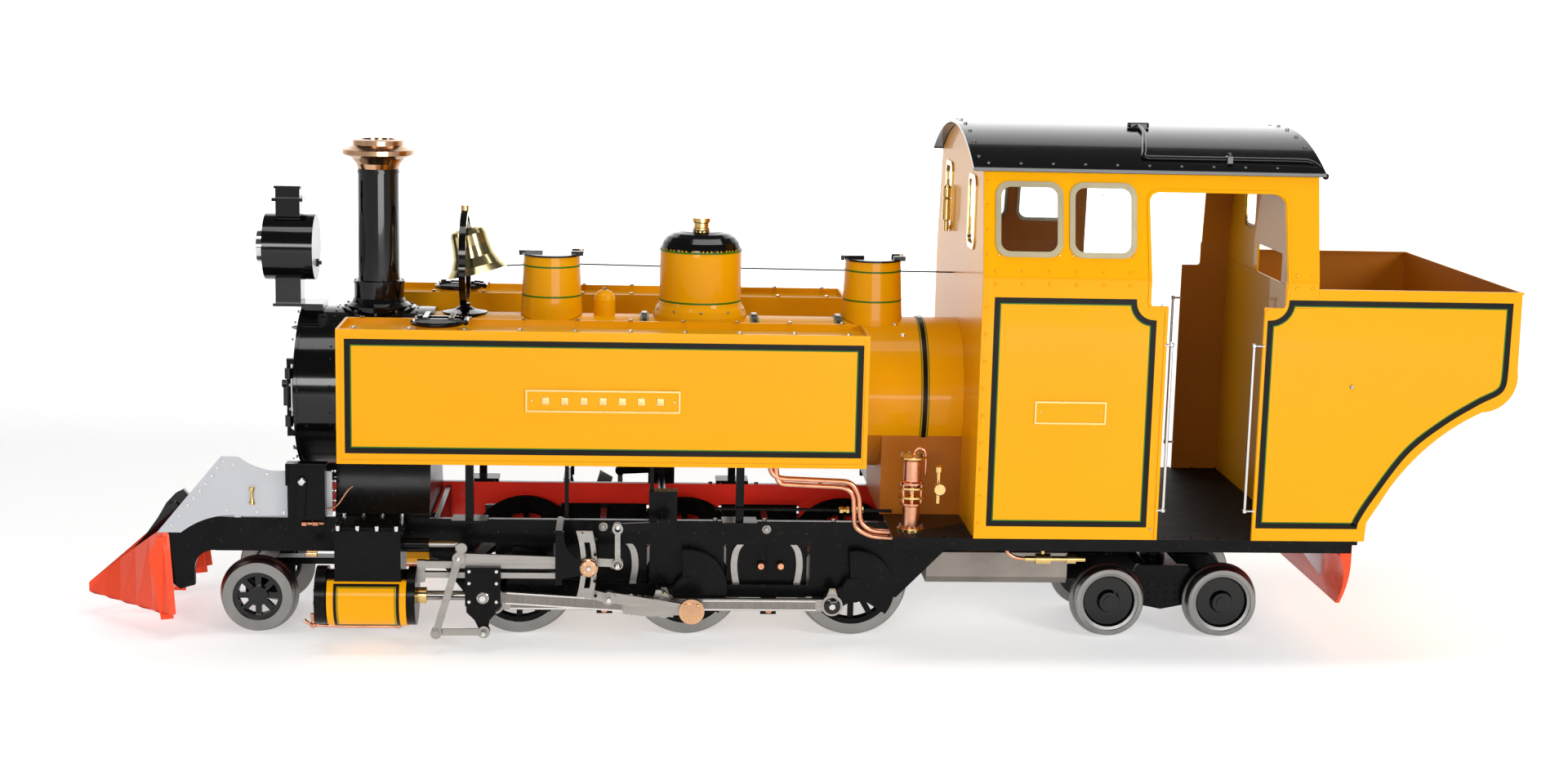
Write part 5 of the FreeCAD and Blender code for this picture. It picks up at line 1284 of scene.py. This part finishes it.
def cylinder_nuts():
    nuts = Batch()
    front = lo("cylinders").x + 0.1 * MM
    for side in (-1, 1):
        for c, s in turns(10, 0.15):
            y, z = (side * CYLINDER_Y + 30 * c) * MM, FLANGE + (78 + 30 * s) * MM
            hex_bolt(nuts, (front, y, z), (-1, 0, 0), 2.6)
    nuts.build("cylinder_front_nuts", STEEL)


def chest_lids():
    """Raised chequer pattern on the lids of the valve chests."""
    for side, tag in SIDES:
        studs = Batch()
        for i in range(13):
            for j in range(10):
                spun(studs, at(-422 + i * 5.8 + (j % 2) * 2.9, side * (147 + j * 6.9), 186.9), UP,
                     [(2.4, 0), (1.2, 1.0), (0, 1.1)], 4)
        studs.build(f"chest_chequer_{tag}", BLACK_SATIN)


def bogie_rivets():
    mid = (BOGIE_AXLES[0] + BOGIE_AXLES[1]) / 2
    for side, tag in SIDES:
        b = Batch()
        for i in range(4):
            for j in range(3):
                x, z = mid.x + (i - 1.5) * 14 * MM, mid.z + (j - 0.4) * 12 * MM
                rivet(b, (x, side * hi("bogie_frame").y, z), (0, side, 0), 2.4)
        b.build(f"bogie_frame_rivets_{tag}", BLACK_SATIN, "bogie")


# ---- stage, lights, camera ----
def stage():
    """Pale floor that turns up into a pale wall a long way behind."""
    turn_y, bend = 7.0, 2.5
    outline = [(-14.0, 0.0), (turn_y, 0.0)]
    outline += [(turn_y + bend * sin(radians(a)), bend - bend * cos(radians(a)))
                for a in range(10, 91, 10)]
    outline += [(turn_y + bend, 9.0)]
    verts = [(x, y, z) for y, z in outline for x in (-16, 16)]
    faces = [(2 * k, 2 * k + 1, 2 * k + 3, 2 * k + 2) for k in range(len(outline) - 1)]
    mesh = bpy.data.meshes.new("floor")
    mesh.from_pydata(verts, [], faces)
    floor = bpy.data.objects.new("floor", mesh)
    bpy.context.scene.collection.objects.link(floor)
    rounded(mesh)
    m = new_material("studio_floor", (0.9, 0.9, 0.9), rough=0.7, vary=0.004, vary_scale=1.5,
                     edge=0, spec=0.1)
    surface = m.node_tree.nodes["Principled BSDF"].inputs
    surface["Emission Color"].default_value = (1, 1, 1, 1)
    surface["Emission Strength"].default_value = 0.48
    mesh.materials.append(m)
    floor.location.z = -0.5 * MM


def area_light(name, where, aim, size, power):
    data = bpy.data.lights.new(name, "AREA")
    data.shape = "RECTANGLE"
    data.size, data.size_y = size
    data.energy = power
    data.color = (1, 1, 1)
    obj = bpy.data.objects.new(name, data)
    bpy.context.scene.collection.objects.link(obj)
    obj.location = where
    obj.rotation_euler = (Vector(aim) - Vector(where)).to_track_quat("-Z", "Y").to_euler()


def lights():
    world = bpy.data.worlds.new("studio")
    bpy.context.scene.world = world
    world.use_nodes = True
    back = world.node_tree.nodes["Background"]
    back.inputs["Color"].default_value = (1, 1, 1, 1)
    back.inputs["Strength"].default_value = 0.09
    area_light("overhead", (0.3, -0.5, 3.2), (0, 0.2, 0.3), (3.6, 0.9), 42)
    area_light("key", (3.0, -3.9, 1.9), (0, 0, 0.3), (1.3, 1.3), 84)
    area_light("fill", (-1.2, -4.6, 1.4), (-0.5, 0, 0.25), (1.6, 0.8), 44)
    area_light("low", (0.8, -3.8, 0.4), (0, 0, 0.15), (2.4, 0.4), 26)
    area_light("front", (-3.6, -1.4, 1.3), (-0.9, 0, 0.3), (0.8, 1.2), 8)
    area_light("wall", (0, 4.0, 4.2), (0, 9, 1.0), (7.0, 1.5), 420)


def camera():
    yaw, pitch, roll = 0.0659, -0.1739, 0.0238
    forward = Vector((sin(yaw) * cos(pitch), cos(yaw) * cos(pitch), sin(pitch)))
    right = Vector((cos(yaw), -sin(yaw), 0))
    up = right.cross(forward)
    right2 = right * cos(roll) + up * sin(roll)
    up2 = up * cos(roll) - right * sin(roll)
    data = bpy.data.cameras.new("photo_camera")
    obj = bpy.data.objects.new("photo_camera", data)
    bpy.context.scene.collection.objects.link(obj)
    m = Matrix((right2, up2, -forward)).transposed().to_4x4()
    m.translation = at(0, -3470.69, 976.46)
    obj.matrix_world = m
    data.lens = 52.40
    data.sensor_width = 36
    data.sensor_fit = "HORIZONTAL"
    data.clip_end = 100
    data.dof.use_dof = False
    bpy.context.scene.camera = obj


for step in (paint_plain, paint_wheels, paint_body, paint_fittings, tank_lining, cab_lining,
             bunker_lining, lagging_lining, beading, rivets_and_screws, name_plate, cab_plate,
             door_beading, window_screws, boiler_bands, dome_bands, chimney_details,
             smokebox_details, roof_details, handrails, bell_wire, tank_tops, wing_bolts,
             drawbar, valance_studs, frame_bolts, rod_bolts, rod_details, trunnion_caps,
             crosshead_bolts, pin_heads, link_bolts, plumbing, lubricator_details, cylinder_nuts,
             chest_lids, bogie_rivets, stage, lights, camera):
    step()
bpy.context.scene.view_settings.view_transform = "Standard"
